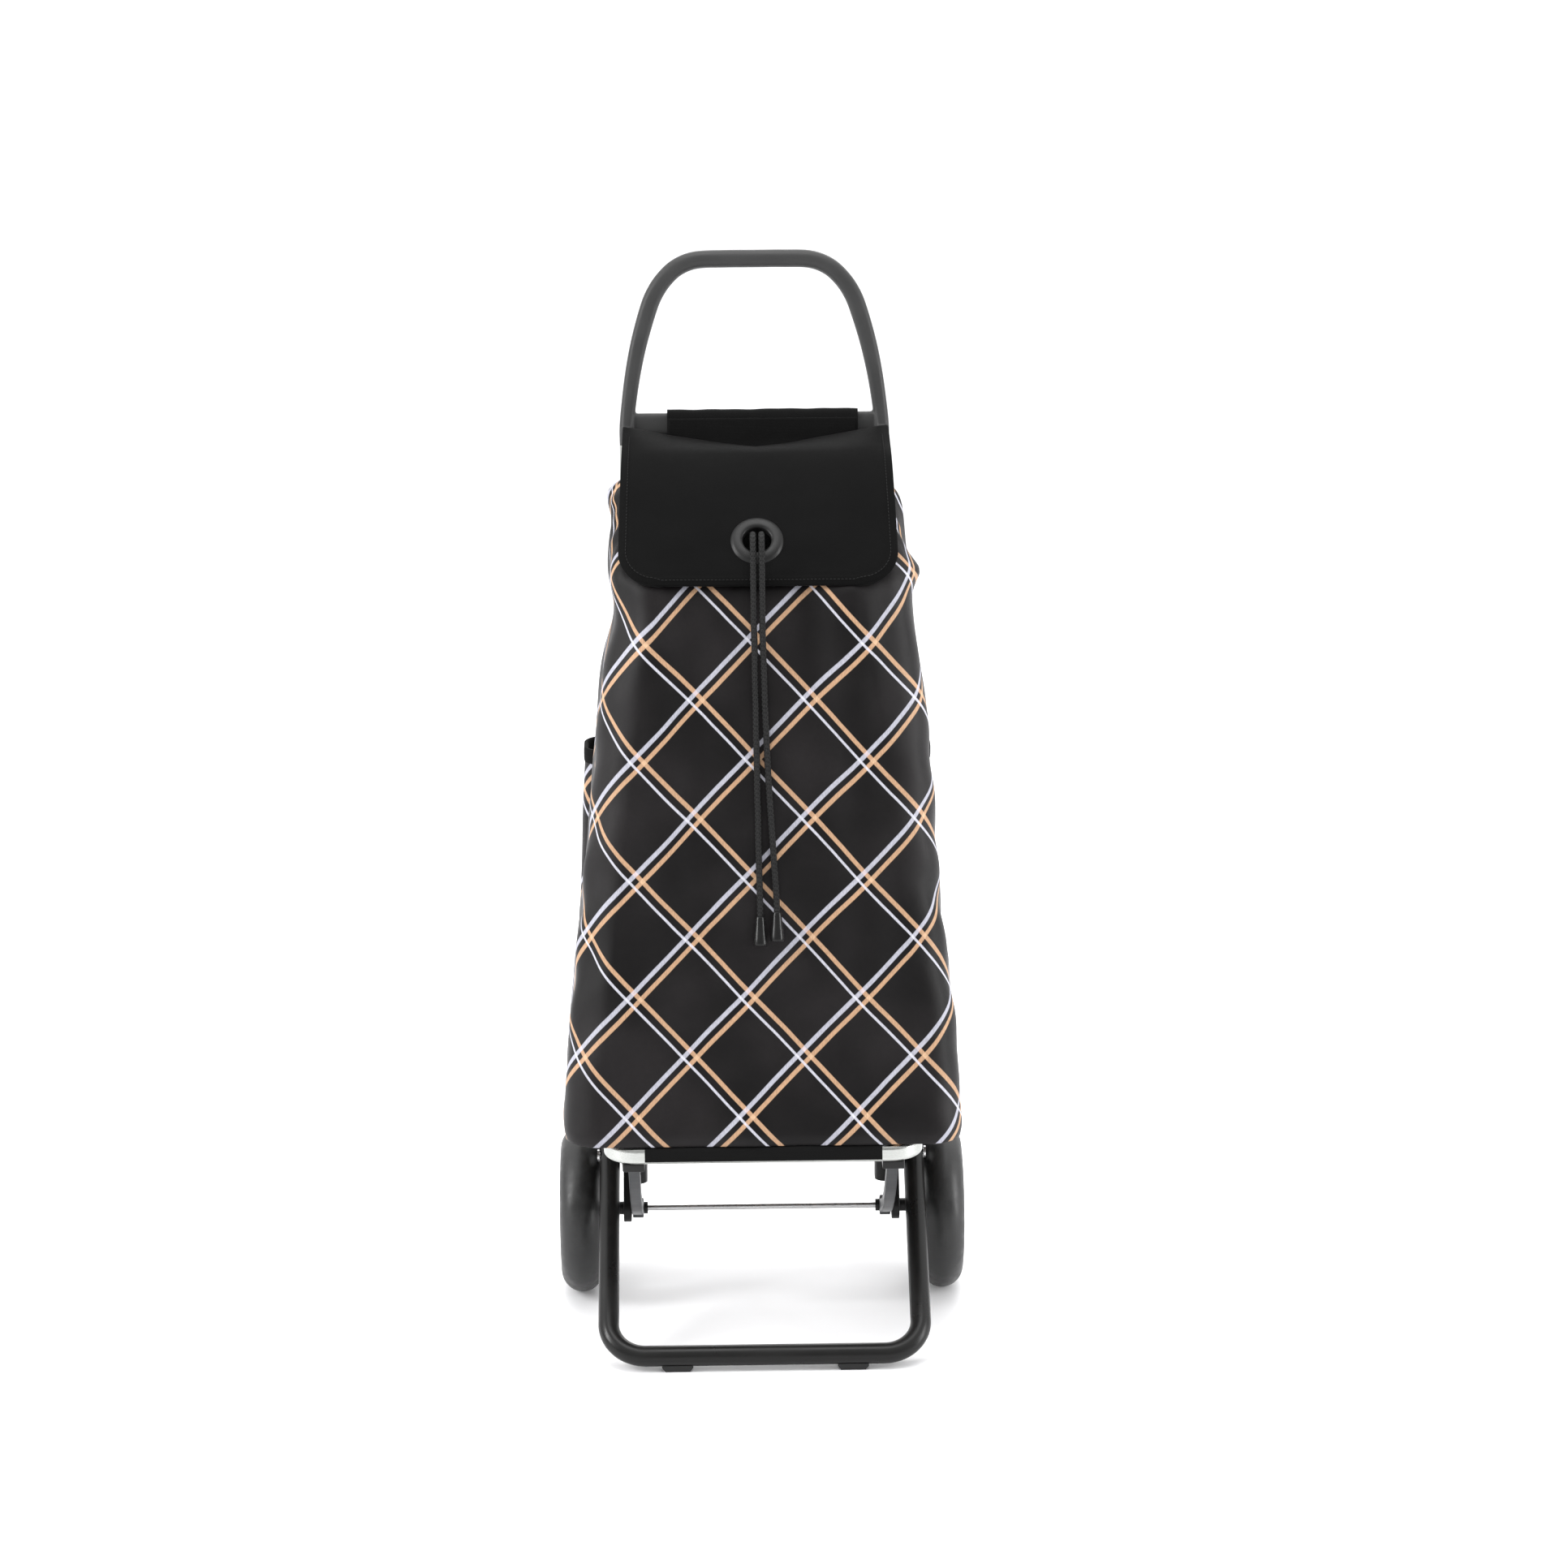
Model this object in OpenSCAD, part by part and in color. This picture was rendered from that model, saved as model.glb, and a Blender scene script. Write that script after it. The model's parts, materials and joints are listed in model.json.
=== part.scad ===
// Folding two-wheeled shopping trolley: a leaning rear frame with an arched handle, a hinged
// platform and a hinged front foot, and a soft bag with a flap lid and a drawstring.
// Millimetres, +Z up, front towards -Y. Every module works in "axle coordinates", where y = 0 is
// the wheel axle, and placed() shifts the result so that the origin is below the middle.

/* [Wheels] */
// Outer diameter of the wheels
wheel_d = 165; // [162:1:168]
// Width of the round-section tyres
tyre_w = 41; // [37:1:41]
// Distance between the middles of the two tyres
track = 359; // [359:1:366]
// Diameter of the steel axle
axle_d = 6; // [5:0.5:8]

/* [Rear frame] */
// Width of the oval frame tubes, across the trolley
tube_w = 14; // [12:1:14]
// Depth of the oval frame tubes, front to back
tube_depth = 25; // [22:1:25]
// Distance from the middle of the trolley to the middle of a frame tube
tube_x = 124; // [122:1:125]
// Height of the frame tubes' upper ends
tube_top = 846; // [835:1:850]

/* [Handle] */
// Depth of the handle arch, front to back
handle_depth = 18; // [14:1:20]
// Height of the crossbar
crossbar_h = 22; // [16:1:24]

/* [Platform] */
// Height of the platform bar's middle
platform_z = 211.5; // [209:0.5:212]
// Outer width of the platform bar
platform_w = 304; // [303:1:305]
// Reach of the platform bar's middle line in front of the axle
platform_reach = 212; // [208:1:213]

/* [Front foot] */
// Diameter of the foot tube
foot_d = 20; // [18:1:20]
// Reach of the foot bar's middle line in front of the axle
foot_reach = 226; // [224:1:230]

/* [Bag] */
// Half width of the bag at its widest, just above the base
bag_half_w = 188; // [184:1:188]
// Thickness of the bag's fabric walls
bag_wall = 3; // [2:0.5:3]

/* [Lid] */
// Half width of the flap at its front edge
flap_half_w = 130; // [124:1:131]
// Thickness of the flap
flap_t = 3; // [2:0.5:3]
// Outer diameter of the cord ring
ring_d = 50; // [46:1:52]
// Diameter of the hole in the cord ring
ring_hole_d = 27; // [24:1:28]

/* [Cords] */
// Diameter of the drawstring
cord_d = 6; // [5:0.5:6]

/* [Hidden] */

$fn = 64;
eps = 0.01;
fit_gap = 0.05;    // running clearance of a shaft in its hole, on the radius
face_gap = 0.2;    // play between flat faces of moving pieces

axle_z = wheel_d / 2;
tyre_r = tyre_w / 2;
tyre_ring_r = axle_z - tyre_r;
wheel_x = track / 2;
rim_r = 46;
hub_r = 13;
hub_in = wheel_x - 14.5;     // inner end of the wheel hub
hub_out = wheel_x + 12.5;    // outer end of the wheel hub
bush_r = 9;

// The frame tubes lean back from a foot point just above the axle
tube_foot = [22, 112];
tube_head_y = 61;
lean = atan((tube_head_y - tube_foot[0]) / (tube_top - tube_foot[1]));
tube_len = (tube_top - tube_foot[1]) / cos(lean);
tube_wall = 1.5;

// Side plates of the knuckles, and what turns beside them
plate_in = 130;
plate_t = 8;
plate_out = plate_in + plate_t;
socket_wall = 3;
socket_h = 105;
axle_boss_r = 14;
boss_r = 12;
pin_boss_r = 9.8;
pin_r = 3;
pin_head_r = 6;

// Platform hinge, foot hinge and stay tip, as [y, z]
rail_w = 10;
rail_h = 17;
rail_x = platform_w / 2 - rail_w / 2;
platform_pivot = [-12, platform_z];
foot_x = 150;
foot_r = foot_d / 2;
foot_pivot = [-40, 152];
foot_bar = [-foot_reach, 4 + foot_r];
foot_leg = norm(foot_bar - foot_pivot);
foot_angle = atan((foot_pivot[1] - foot_bar[1]) / (foot_pivot[0] - foot_bar[0]));
foot_bend = 36;
foot_tail = 9;
stay_x = 118;
stay_w = 11;
stay_r = 6.5;
stay_tip_r = 8;
stay_tip = [-186, platform_z - 15.5];
stay_len = norm(stay_tip - [0, axle_z]);
stay_angle = atan((stay_tip[1] - axle_z) / -stay_tip[0]);
stay_bow = 14;

// Flap: the top face's profile as [y, z], and the slope of its straight front part
flap_profile = [[42, 866], [28, 865.5], [8, 857.5], [-16, 845.5], [-37, 830], [-55, 812.5],
                [-70, 796], [-86, 778.4], [-102, 760.8], [-118, 743.2]];
flap_slope = 47.7;
flap_corner_r = 38;
ring_at = [-86, 778.4];
lid_pivot = [44, 863.5];
lid_bead_r = 2.6;

// Rings that the bag is lofted through:
// [half width, front y, back y, corner radius, front z, back z]
bag_rings = [
    [bag_half_w - 9, -201, 5, 38, 222, 222],
    [bag_half_w, -211, 12, 46, 238, 238],
    [bag_half_w - 1, -198, 16, 48, 300, 300],
    [bag_half_w - 10, -178, 21, 48, 400, 400],
    [bag_half_w - 19, -160, 26.5, 48, 500, 500],
    [bag_half_w - 28, -142, 32, 48, 600, 600],
    [bag_half_w - 39, -125, 36, 46, 680, 700],
    [bag_half_w - 44, -116, 39, 44, 722, 786],
    [bag_half_w - 48, -111, 40, 42, 738, 816],
    [bag_half_w - 62, -92, 36, 40, 753, 830],
    [bag_half_w - 84, -72, 30, 36, 764, 836]
];
mouth = bag_rings[len(bag_rings) - 1];
hem_r = 5;

// Rear pocket rings, in the same form
pocket_rings = [
    [180, 14.2, 66, 18, 246, 246],
    [182, 15, 74, 20, 262, 262],
    [178, 22.3, 84, 20, 400, 400],
    [173, 29.8, 92, 18, 540, 540],
    [171, 30.6, 92, 18, 555, 555]
];
pocket_wall = 2;

// Drawstring ends: points [x, y, z] from the hem, through the ring and down the bag's front
cord_left_route = [
    [-4, -72.6, 766.4], [-4, -80, 773], [-4, -86, 778.4], [-4, -93.5, 785], [-4, -101, 787],
    [-4, -108.5, 783.5], [-4, -114, 775], [-4, -118, 763], [-4, -121, 750], [-4, -123, 736],
    [-4, -125, 722], [-4, -127, 706], [-3.5, -131, 680], [-3.5, -135, 655], [-3, -139.5, 630],
    [-3, -145, 605], [-2.5, -149, 580], [-2.5, -153.5, 555], [-2, -158, 530], [-2, -162.5, 505],
    [-1.5, -167, 480], [-1, -172, 455], [-1, -177.4, 434]
];
cord_right_route = [
    [4, -72.6, 766.4], [4, -80, 773], [4, -86, 778.4], [4, -93.5, 785], [4, -101, 787],
    [4, -108.5, 783.5], [4, -114, 775], [4, -118, 763], [4, -121, 750], [4, -123, 736],
    [4, -125, 722], [4, -127, 706], [4.5, -131, 680], [5, -135, 655], [5.5, -139.5, 630],
    [6.5, -145, 605], [7.5, -149, 580], [8.5, -153.5, 555], [10, -158, 530], [11.5, -162.5, 505],
    [13, -167, 480], [14.5, -172, 455], [15, -176.8, 438]
];
cord_sides = 8;

// The origin is below the middle of the whole: front is the foot bar, back is the pocket
front_y = foot_bar[0] - foot_r;
back_y = max([for (ring = pocket_rings) ring[2]]);
axle_y = -(front_y + back_y) / 2;

// ---------- helpers ----------

module placed() {
    translate([0, axle_y, 0]) children();
}

// The same shape on both sides of the trolley
module both_sides() {
    children();
    mirror([1, 0, 0]) children();
}

// Children stand in a frame tube's own frame: z runs up the tube from its foot
module tube_frame(x = 0) {
    translate([x, tube_foot[0], tube_foot[1]]) rotate([-lean, 0, 0]) children();
}

// Straight rod along +X from x0 to x1 at [y, z]
module rod_x(x0, x1, r, at) {
    translate([x0, at[0], at[1]]) rotate([0, 90, 0]) cylinder(h = x1 - x0, r = r);
}

// Ring along +X from x0 to x1 at [y, z]
module washer_x(x0, x1, r, hole_r, at) {
    difference() {
        rod_x(x0, x1, r, at);
        rod_x(x0 - 1, x1 + 1, hole_r, at);
    }
}

// Extrude a [y, z] outline along X, from x0 to x1
module extrude_x(x0, x1) {
    translate([x0, 0, 0]) rotate([90, 0, 90]) linear_extrude(height = x1 - x0) children();
}

// Stadium outline, w wide and h high, with full round ends along its longer side
module stadium(w, h) {
    r = min(w, h) / 2;
    run_x = max(w / 2 - r, 0);
    run_y = max(h / 2 - r, 0);
    for (s = [-1, 1]) translate([s * run_x, s * run_y]) circle(r);
    square([max(w - 2 * r, h > w ? w : eps), max(h - 2 * r, w > h ? h : eps)], center = true);
}

function curve_at(a, b, c, d, t) =
    0.5 * (2 * b + (c - a) * t + (2 * a - 5 * b + 4 * c - d) * t * t
    + (3 * b - a - 3 * c + d) * t * t * t);

// Smooth curve through points p, with n steps between two of them
function smooth(p, n) = [
    for (i = [0 : len(p) - 2]) for (k = [0 : n - 1])
        curve_at(p[max(i - 1, 0)], p[i], p[i + 1], p[min(i + 2, len(p) - 1)], k / n),
    p[len(p) - 1]
];

function unit(v) = v / norm(v);
function heading(p, i) = unit(p[min(i + 1, len(p) - 1)] - p[max(i - 1, 0)]);

// Line at a distance to the left of p, where the distance goes from w0 to w1
function beside(p, w0, w1) = [
    for (i = [0 : len(p) - 1])
        let (d = heading(p, i), w = w0 + (w1 - w0) * i / (len(p) - 1)) p[i] + w * [-d[1], d[0]]
];

function reversed(p) = [for (i = [len(p) - 1 : -1 : 0]) p[i]];

// Closed ring of a rounded rectangle whose height runs from the front z to the back z
corner_steps = 6;
function bag_ring(g) =
    let (hw = g[0], yf = g[1], yb = g[2], r = g[3], zf = g[4], zb = g[5])
    [for (q = [[1, 1, 0], [-1, 1, 90], [-1, -1, 180], [1, -1, 270]]) for (k = [0 : corner_steps])
        let (a = q[2] + 90 * k / corner_steps,
             x = q[0] * (hw - r) + r * cos(a),
             y = (q[1] > 0 ? yb - r : yf + r) + r * sin(a))
        [x, y, zf + (zb - zf) * (y - yf) / (yb - yf)]];

// The ring made smaller by t all round and moved up by dz
function shrunk(g, t, dz) = [g[0] - t, g[1] + t, g[2] - t, max(g[3] - t, 4), g[4] + dz, g[5] + dz];

// Closed solid through a list of rings
module loft(rings) {
    n = len(rings[0]);
    last = len(rings) - 1;
    polyhedron(
        points = [for (ring = rings) each ring],
        faces = concat(
            [for (i = [1 : n - 2]) [0, i, i + 1]],
            [for (j = [0 : last - 1]) for (i = [0 : n - 1])
                [j * n + i, (j + 1) * n + (i + 1) % n, j * n + (i + 1) % n]],
            [for (j = [0 : last - 1]) for (i = [0 : n - 1])
                [j * n + i, (j + 1) * n + i, (j + 1) * n + (i + 1) % n]],
            [for (i = [1 : n - 2]) [last * n, last * n + i + 1, last * n + i]]
        ),
        convexity = 6
    );
}

// Sides of a swept tube at point i of path p: a ring square to the path
function tube_ring(p, i, r, sides) =
    let (d = heading(p, i), u = unit(cross(d, [1, 0, 0.001])), v = cross(d, u))
    [for (k = [0 : sides - 1]) p[i] + r * (cos(360 * k / sides) * u + sin(360 * k / sides) * v)];

// ---------- rear frame ----------

module rear_tube(side) {
    color("silver") placed() tube_frame(side * tube_x) difference() {
        linear_extrude(height = tube_len) difference() {
            stadium(tube_w, tube_depth);
            stadium(tube_w - 2 * tube_wall, tube_depth - 2 * tube_wall);
        }
        translate([0, 0, tube_len - 20]) rotate([-90, 0, 0]) cylinder(h = 20, r = 2);
    }
}

module rear_tube_left() rear_tube(-1);
module rear_tube_right() rear_tube(1);

module rear_brace() {
    brace_z = 122;
    color("silver") placed() tube_frame() {
        washer_x(tube_w / 2 - tube_x, tube_x - tube_w / 2, 6, 5, [0, brace_z]);
    }
}

module knuckle(side) {
    socket_w = tube_w + 2 * socket_wall;
    socket_depth = tube_depth + 2 * socket_wall;
    color("#1c1c1e") placed() mirror([side < 0 ? 1 : 0, 0, 0]) difference() {
        union() {
            hull() {
                rod_x(plate_in, plate_out, axle_boss_r, [0, axle_z]);
                rod_x(plate_in, plate_out, pin_boss_r + 1, [20, tube_foot[1] + 8]);
            }
            hull() {
                rod_x(plate_in, plate_out, boss_r, foot_pivot);
                rod_x(plate_in, plate_out, boss_r, [18, tube_foot[1] + 20]);
                rod_x(plate_in, plate_out, pin_boss_r, platform_pivot);
            }
            hull() {
                rod_x(plate_in, plate_out, pin_boss_r, platform_pivot);
                rod_x(plate_in, plate_out, pin_boss_r, [22, tube_foot[1] + 30]);
                rod_x(plate_in, plate_out, pin_boss_r, [26, platform_z - 6]);
            }
            tube_frame(tube_x) translate([0, 0, -8])
                linear_extrude(height = socket_h + 8) stadium(socket_w, socket_depth);
        }
        tube_frame(tube_x) linear_extrude(height = socket_h + 1) stadium(tube_w, tube_depth);
        rod_x(plate_in - 1, plate_out + 1, axle_d / 2 + fit_gap, [0, axle_z]);
        for (at = [foot_pivot, platform_pivot]) {
            rod_x(plate_in - 1, plate_out + 1, pin_r + fit_gap, at);
            rod_x(plate_in - 1, plate_in + 2.2, pin_head_r + face_gap, at);
        }
    }
}

module knuckle_left() knuckle(-1);
module knuckle_right() knuckle(1);

// ---------- handle ----------

handle_foot_z = tube_top;
arch_path = [[0, 1024], [28, 1024], [52, 1023], [72, 1016], [86, 1005], [95.5, 991], [102, 975],
             [111, 944], [117.5, 913], [122, 882], [124, 862], [124, 847]];
handle_lean = 6.5;
crossbar_top = 876;

// Children stand in the handle's plane, where y is its height above the floor
module handle_frame() {
    translate([0, tube_head_y, handle_foot_z]) rotate([90 - handle_lean, 0, 0])
        translate([0, -handle_foot_z, 0]) children();
}

module half_arch() {
    path = smooth(arch_path, 4);
    polygon(concat(beside(path, 8.6, tube_w / 2), reversed(beside(path, -8.6, -tube_w / 2))));
}

module handle() {
    stub = 40;
    color("#47474a") placed() {
        handle_frame() {
            linear_extrude(height = handle_depth, center = true) union() {
                half_arch();
                mirror([1, 0]) half_arch();
            }
            linear_extrude(height = 14, center = true)
                translate([-118, crossbar_top - crossbar_h]) square([236, crossbar_h]);
        }
        both_sides() tube_frame(tube_x) difference() {
            union() {
                translate([0, 0, tube_len - stub]) linear_extrude(height = stub + 4)
                    stadium(tube_w - 2 * tube_wall - 0.2, tube_depth - 2 * tube_wall - 0.2);
                translate([0, 0, tube_len]) linear_extrude(height = 16) stadium(tube_w, tube_depth);
            }
            translate([0, 2, tube_len - 20]) rotate([-90, 0, 0]) cylinder(h = 20, r = 2);
        }
    }
}

module handle_screws() {
    color("#303032") placed() both_sides() tube_frame(tube_x)
        translate([0, 0, tube_len - 20]) rotate([-90, 0, 0]) {
            translate([0, 0, 3]) cylinder(h = tube_depth / 2 - 2.8, r = 1.95);
            translate([0, 0, tube_depth / 2 + 0.2]) cylinder(h = 2.2, r = 3.6);
        }
}

// ---------- axle and wheels ----------

module axle_rod() {
    color("#b9bcc0") placed() rod_x(-hub_out - 4, hub_out + 4, axle_d / 2, [0, axle_z]);
}

module axle_collars() {
    color("#1c1c1e") placed() both_sides()
        washer_x(stay_x - 4, stay_x - face_gap, 6, axle_d / 2, [0, axle_z]);
}

module axle_spacers() {
    color("#1c1c1e") placed() both_sides()
        washer_x(plate_out, hub_in - face_gap, 6.5, axle_d / 2, [0, axle_z]);
}

module axle_push_nuts() {
    color("#9a9da0") placed() both_sides()
        washer_x(hub_out + 0.6, hub_out + 2.6, 6, axle_d / 2, [0, axle_z]);
}

// Children are a rotate_extrude about X, in a wheel's own middle
module wheel_frame(side) {
    placed() translate([side * wheel_x, 0, axle_z]) rotate([0, 90, 0]) children();
}

module tyre(side) {
    color("#2a2a2c") wheel_frame(side) rotate_extrude($fn = 128) difference() {
        translate([tyre_ring_r, 0]) circle(tyre_r);
        translate([0, -tyre_w]) square([rim_r, 2 * tyre_w]);
    }
}

module tyre_left() tyre(-1);
module tyre_right() tyre(1);

module rim(side) {
    half_hub_in = wheel_x - hub_in;
    half_hub_out = hub_out - wheel_x;
    color("#3a3a3d") wheel_frame(side) difference() {
        union() {
            rotate_extrude($fn = 96) translate([rim_r - 4, -12.5]) square([4, 25]);
            translate([0, 0, side > 0 ? -half_hub_in : -half_hub_out])
                cylinder(h = half_hub_in + half_hub_out, r = hub_r);
            for (k = [0 : 5]) rotate([0, 0, 60 * k + 30])
                translate([hub_r - 2, -3.5, -7]) cube([rim_r - hub_r, 7, 14]);
        }
        translate([0, 0, -20]) cylinder(h = 40, r = bush_r);
    }
}

module rim_left() rim(-1);
module rim_right() rim(1);

module bush(side) {
    color("#d8d6cf") placed() mirror([side < 0 ? 1 : 0, 0, 0])
        washer_x(hub_in, hub_out, bush_r, axle_d / 2 + fit_gap, [0, axle_z]);
}

module bush_left() bush(-1);
module bush_right() bush(1);

module hub_cap(side) {
    color("#3a3a3d") placed() mirror([side < 0 ? 1 : 0, 0, 0])
        translate([hub_out, 0, axle_z]) rotate([0, 90, 0]) rotate_extrude() difference() {
            intersection() {
                translate([0, -20]) circle(27.2, $fn = 96);
                square([hub_r, 10]);
            }
            square([hub_r - 2.5, 4.9]);
        }
}

module hub_cap_left() hub_cap(-1);
module hub_cap_right() hub_cap(1);

// ---------- platform ----------

rail_bend = 28;

// A U of the children's outline: two rails and a front bar, in the plane of the platform
module platform_u(rear) {
    front = -platform_reach;
    straight = rail_x - rail_bend;
    both_sides() {
        translate([rail_x, front + rail_bend, platform_z]) rotate([-90, 0, 0])
            linear_extrude(height = rear - front - rail_bend) children();
        translate([straight, front + rail_bend, platform_z]) rotate([0, 0, -90])
            rotate_extrude(angle = 90) translate([rail_bend, 0]) children();
    }
    translate([-straight, front, platform_z]) rotate([90, 0, 90])
        linear_extrude(height = 2 * straight) children();
}

module platform_bar() {
    rail_end = platform_pivot[0] + 9;
    color("#c9ccd0") placed() difference() {
        platform_u(rail_end) stadium(rail_w, rail_h);
        difference() {
            platform_u(rail_end + 1) stadium(rail_w - 2.4, rail_h - 2.4);
            both_sides() translate([rail_x - 6, platform_pivot[0] - 14, platform_z - 10])
                cube([12, 40, 20]);
        }
        both_sides() rod_x(rail_x - 10, rail_x + 10, pin_r + fit_gap, platform_pivot);
    }
}

// Headed pin through a knuckle plate and the piece that turns on it
module hinge_pin(x_end, at) {
    rod_x(plate_in + 0.1, plate_in + 2.1, pin_head_r, at);
    rod_x(plate_in + 1, x_end + 1, pin_r, at);
    rod_x(x_end + 0.3, x_end + 2.3, pin_head_r, at);
}

module platform_pins() {
    color("#b9bcc0") placed() both_sides() hinge_pin(rail_x + rail_w / 2, platform_pivot);
}

module platform_spacers() {
    color("#1c1c1e") placed() both_sides()
        washer_x(plate_out, rail_x - rail_w / 2 - face_gap, 7, pin_r + fit_gap, platform_pivot);
}

module stay_seats() {
    front = -platform_reach;
    color("#1c1c1e") placed() both_sides() difference() {
        translate([stay_x - 5, front, platform_z - 17]) cube([stay_w + 10, 36, 21.5]);
        translate([-rail_x, front, platform_z]) rotate([90, 0, 90])
            linear_extrude(height = 2 * rail_x) stadium(rail_w, rail_h);
        rod_x(stay_x - 6, stay_x + stay_w + 6, stay_tip_r + 0.5, stay_tip);
        translate([stay_x - 6, stay_tip[0], stay_tip[1] - 20])
            cube([stay_w + 12, 30, 20 + stay_tip_r + 0.5]);
        translate([stay_x - 6, stay_tip[0] - stay_tip_r - 0.5, stay_tip[1] - 20])
            cube([stay_w + 12, 30, 20]);
    }
}

module bar_strap() {
    strap_t = 1.3;
    strap_half = 112.5;
    color("#151516") placed() extrude_x(-strap_half, strap_half)
        translate([-platform_reach, platform_z]) difference() {
            stadium(rail_w + 2 * strap_t, rail_h + 2 * strap_t);
            stadium(rail_w, rail_h);
            translate([-rail_w, -rail_h]) square([2 * rail_w, rail_h - 5]);
        }
}

module base_board() {
    board_r = 30;
    board_x = 165;
    front = -190;
    rear = -30;
    color("#6b6256") placed() translate([0, 0, 225]) linear_extrude(height = 3) {
        difference() {
            translate([-board_x, front]) square([2 * board_x, rear - front]);
            for (sx = [-1, 1]) for (y = [front, rear - board_r])
                translate([sx > 0 ? board_x - board_r : -board_x, y]) square(board_r);
        }
        for (sx = [-1, 1]) for (y = [front + board_r, rear - board_r])
            translate([sx * (board_x - board_r), y]) circle(board_r);
    }
}

// ---------- stays ----------

// Bowed strut from the axle to the platform's seat
module stay(side) {
    bow_r = (stay_len * stay_len / 4 + stay_bow * stay_bow) / (2 * stay_bow);
    color("#8d9094") placed() mirror([side < 0 ? 1 : 0, 0, 0])
        translate([stay_x, 0, axle_z]) rotate([90, 0, 90]) rotate([0, 0, 180 - stay_angle])
            difference() {
                linear_extrude(height = stay_w) {
                    intersection() {
                        translate([stay_len / 2, -bow_r + stay_bow]) difference() {
                            circle(bow_r + stay_r, $fn = 360);
                            circle(bow_r - stay_r, $fn = 360);
                        }
                        translate([0, -stay_r]) square([stay_len, stay_bow + 3 * stay_r]);
                    }
                    circle(10);
                    translate([stay_len, 0]) circle(stay_tip_r);
                }
                translate([0, 0, -1]) cylinder(h = stay_w + 2, r = axle_d / 2 + fit_gap);
                translate([stay_len, 0, -1]) cylinder(h = stay_w + 2, r = 2.5);
            }
}

module stay_left() stay(-1);
module stay_right() stay(1);

// ---------- front foot ----------

// Children stand in the foot's plane: x across, y from the hinge towards the bar
module foot_frame() {
    translate([0, foot_pivot[0], foot_pivot[1]]) rotate([foot_angle, 0, 0]) mirror([0, 1, 0]) children();
}

module foot_u(r, tail) {
    straight = foot_x - foot_bend;
    both_sides() {
        translate([foot_x, -tail, 0]) rotate([-90, 0, 0]) cylinder(h = foot_leg - foot_bend + tail, r = r);
        translate([straight, foot_leg - foot_bend, 0]) rotate_extrude(angle = 90)
            translate([foot_bend, 0]) circle(r);
    }
    translate([-straight, foot_leg, 0]) rotate([0, 90, 0]) cylinder(h = 2 * straight, r = r);
}

module foot_tube() {
    color("#1a1a1b") placed() foot_frame() difference() {
        foot_u(foot_r, foot_tail);
        foot_u(foot_r - 1.5, foot_tail + 1);
        both_sides() rod_x(foot_x - 15, foot_x + 15, pin_r + fit_gap, [0, 0]);
    }
}

module foot_plugs() {
    color("#1c1c1e") placed() foot_frame() both_sides() translate([foot_x, -foot_tail, 0])
        rotate([90, 0, 0]) {
            cylinder(h = 1.2, r = foot_r - 0.3);
            translate([0, 0, -4.5]) cylinder(h = 5, r = foot_r - 1.6);
        }
}

// Chamfered shoes under the foot bar
module foot_pads() {
    pad_x = 84;
    half = 15;
    color("#1c1c1e") placed() both_sides() difference() {
        translate([pad_x, foot_bar[0], 0]) rotate([90, 0, 0]) linear_extrude(height = 14, center = true)
            polygon([[-half + 3, 0], [half - 3, 0], [half, 4], [half, 9], [-half, 9], [-half, 4]]);
        rod_x(pad_x - half - 1, pad_x + half + 1, foot_r, foot_bar);
    }
}

module foot_pins() {
    color("#b9bcc0") placed() both_sides() hinge_pin(foot_x + foot_r, foot_pivot);
}

module foot_spacers() {
    color("#1c1c1e") placed() both_sides()
        washer_x(plate_out, foot_x - foot_r - face_gap, 8, pin_r + fit_gap, foot_pivot);
}

// ---------- bag ----------

module bag_shell() {
    last = len(bag_rings) - 1;
    function inside(i) = shrunk(bag_rings[i], bag_wall, i == 0 ? 2.4 : i == last ? 4 : 0);
    color("#3b3a3d") placed() difference() {
        loft([for (g = bag_rings) bag_ring(g)]);
        loft([for (i = [0 : last]) bag_ring(inside(i))]);
    }
}

// The folded edge of the mouth, which the drawstring runs in
module mouth_hem() {
    path = bag_ring(shrunk(mouth, bag_wall / 2 - 0.5, 3));
    n = len(path);
    sides = 8;
    rings = [for (i = [0 : n - 1])
        let (d = unit(path[(i + 1) % n] - path[(i + n - 1) % n]),
             u = unit(cross(d, [0, 0, 1])), v = cross(d, u))
        [for (k = [0 : sides - 1])
            path[i] + hem_r * (cos(360 * k / sides) * u + sin(360 * k / sides) * v)]];
    color("#151516") placed() difference() {
        polyhedron(
            points = [for (ring = rings) each ring],
            faces = [for (j = [0 : n - 1]) for (i = [0 : sides - 1])
                each [[j * sides + i, ((j + 1) % n) * sides + (i + 1) % sides, j * sides + (i + 1) % sides],
                      [j * sides + i, ((j + 1) % n) * sides + i, ((j + 1) % n) * sides + (i + 1) % sides]]],
            convexity = 8);
        loft([for (i = [len(bag_rings) - 3 : len(bag_rings) - 1]) bag_ring(bag_rings[i])]);
    }
}

// Stiffener inside the bag's back; it starts above the base board's folded place
module back_board() {
    half = 108;
    board_t = 2;
    low = 276;
    high = 570;
    color("#6b6256") placed() tube_frame()
        translate([-half, -24.5, low]) cube([2 * half, board_t, high - low]);
}

module rear_pocket() {
    last = len(pocket_rings) - 1;
    color("#3b3a3d") placed() difference() {
        union() {
            difference() {
                loft([for (g = pocket_rings) bag_ring(g)]);
                loft([for (i = [0 : last])
                    bag_ring(shrunk(pocket_rings[i], pocket_wall, i == 0 ? 2.5 : i == last ? 4 : 0))]);
            }
            tube_frame() translate([-174, 13.2, 137]) cube([348, 2, 300]);
        }
        tube_frame() translate([-140, -13.1, 100]) cube([280, 26.3, 60]);
    }
}

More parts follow.
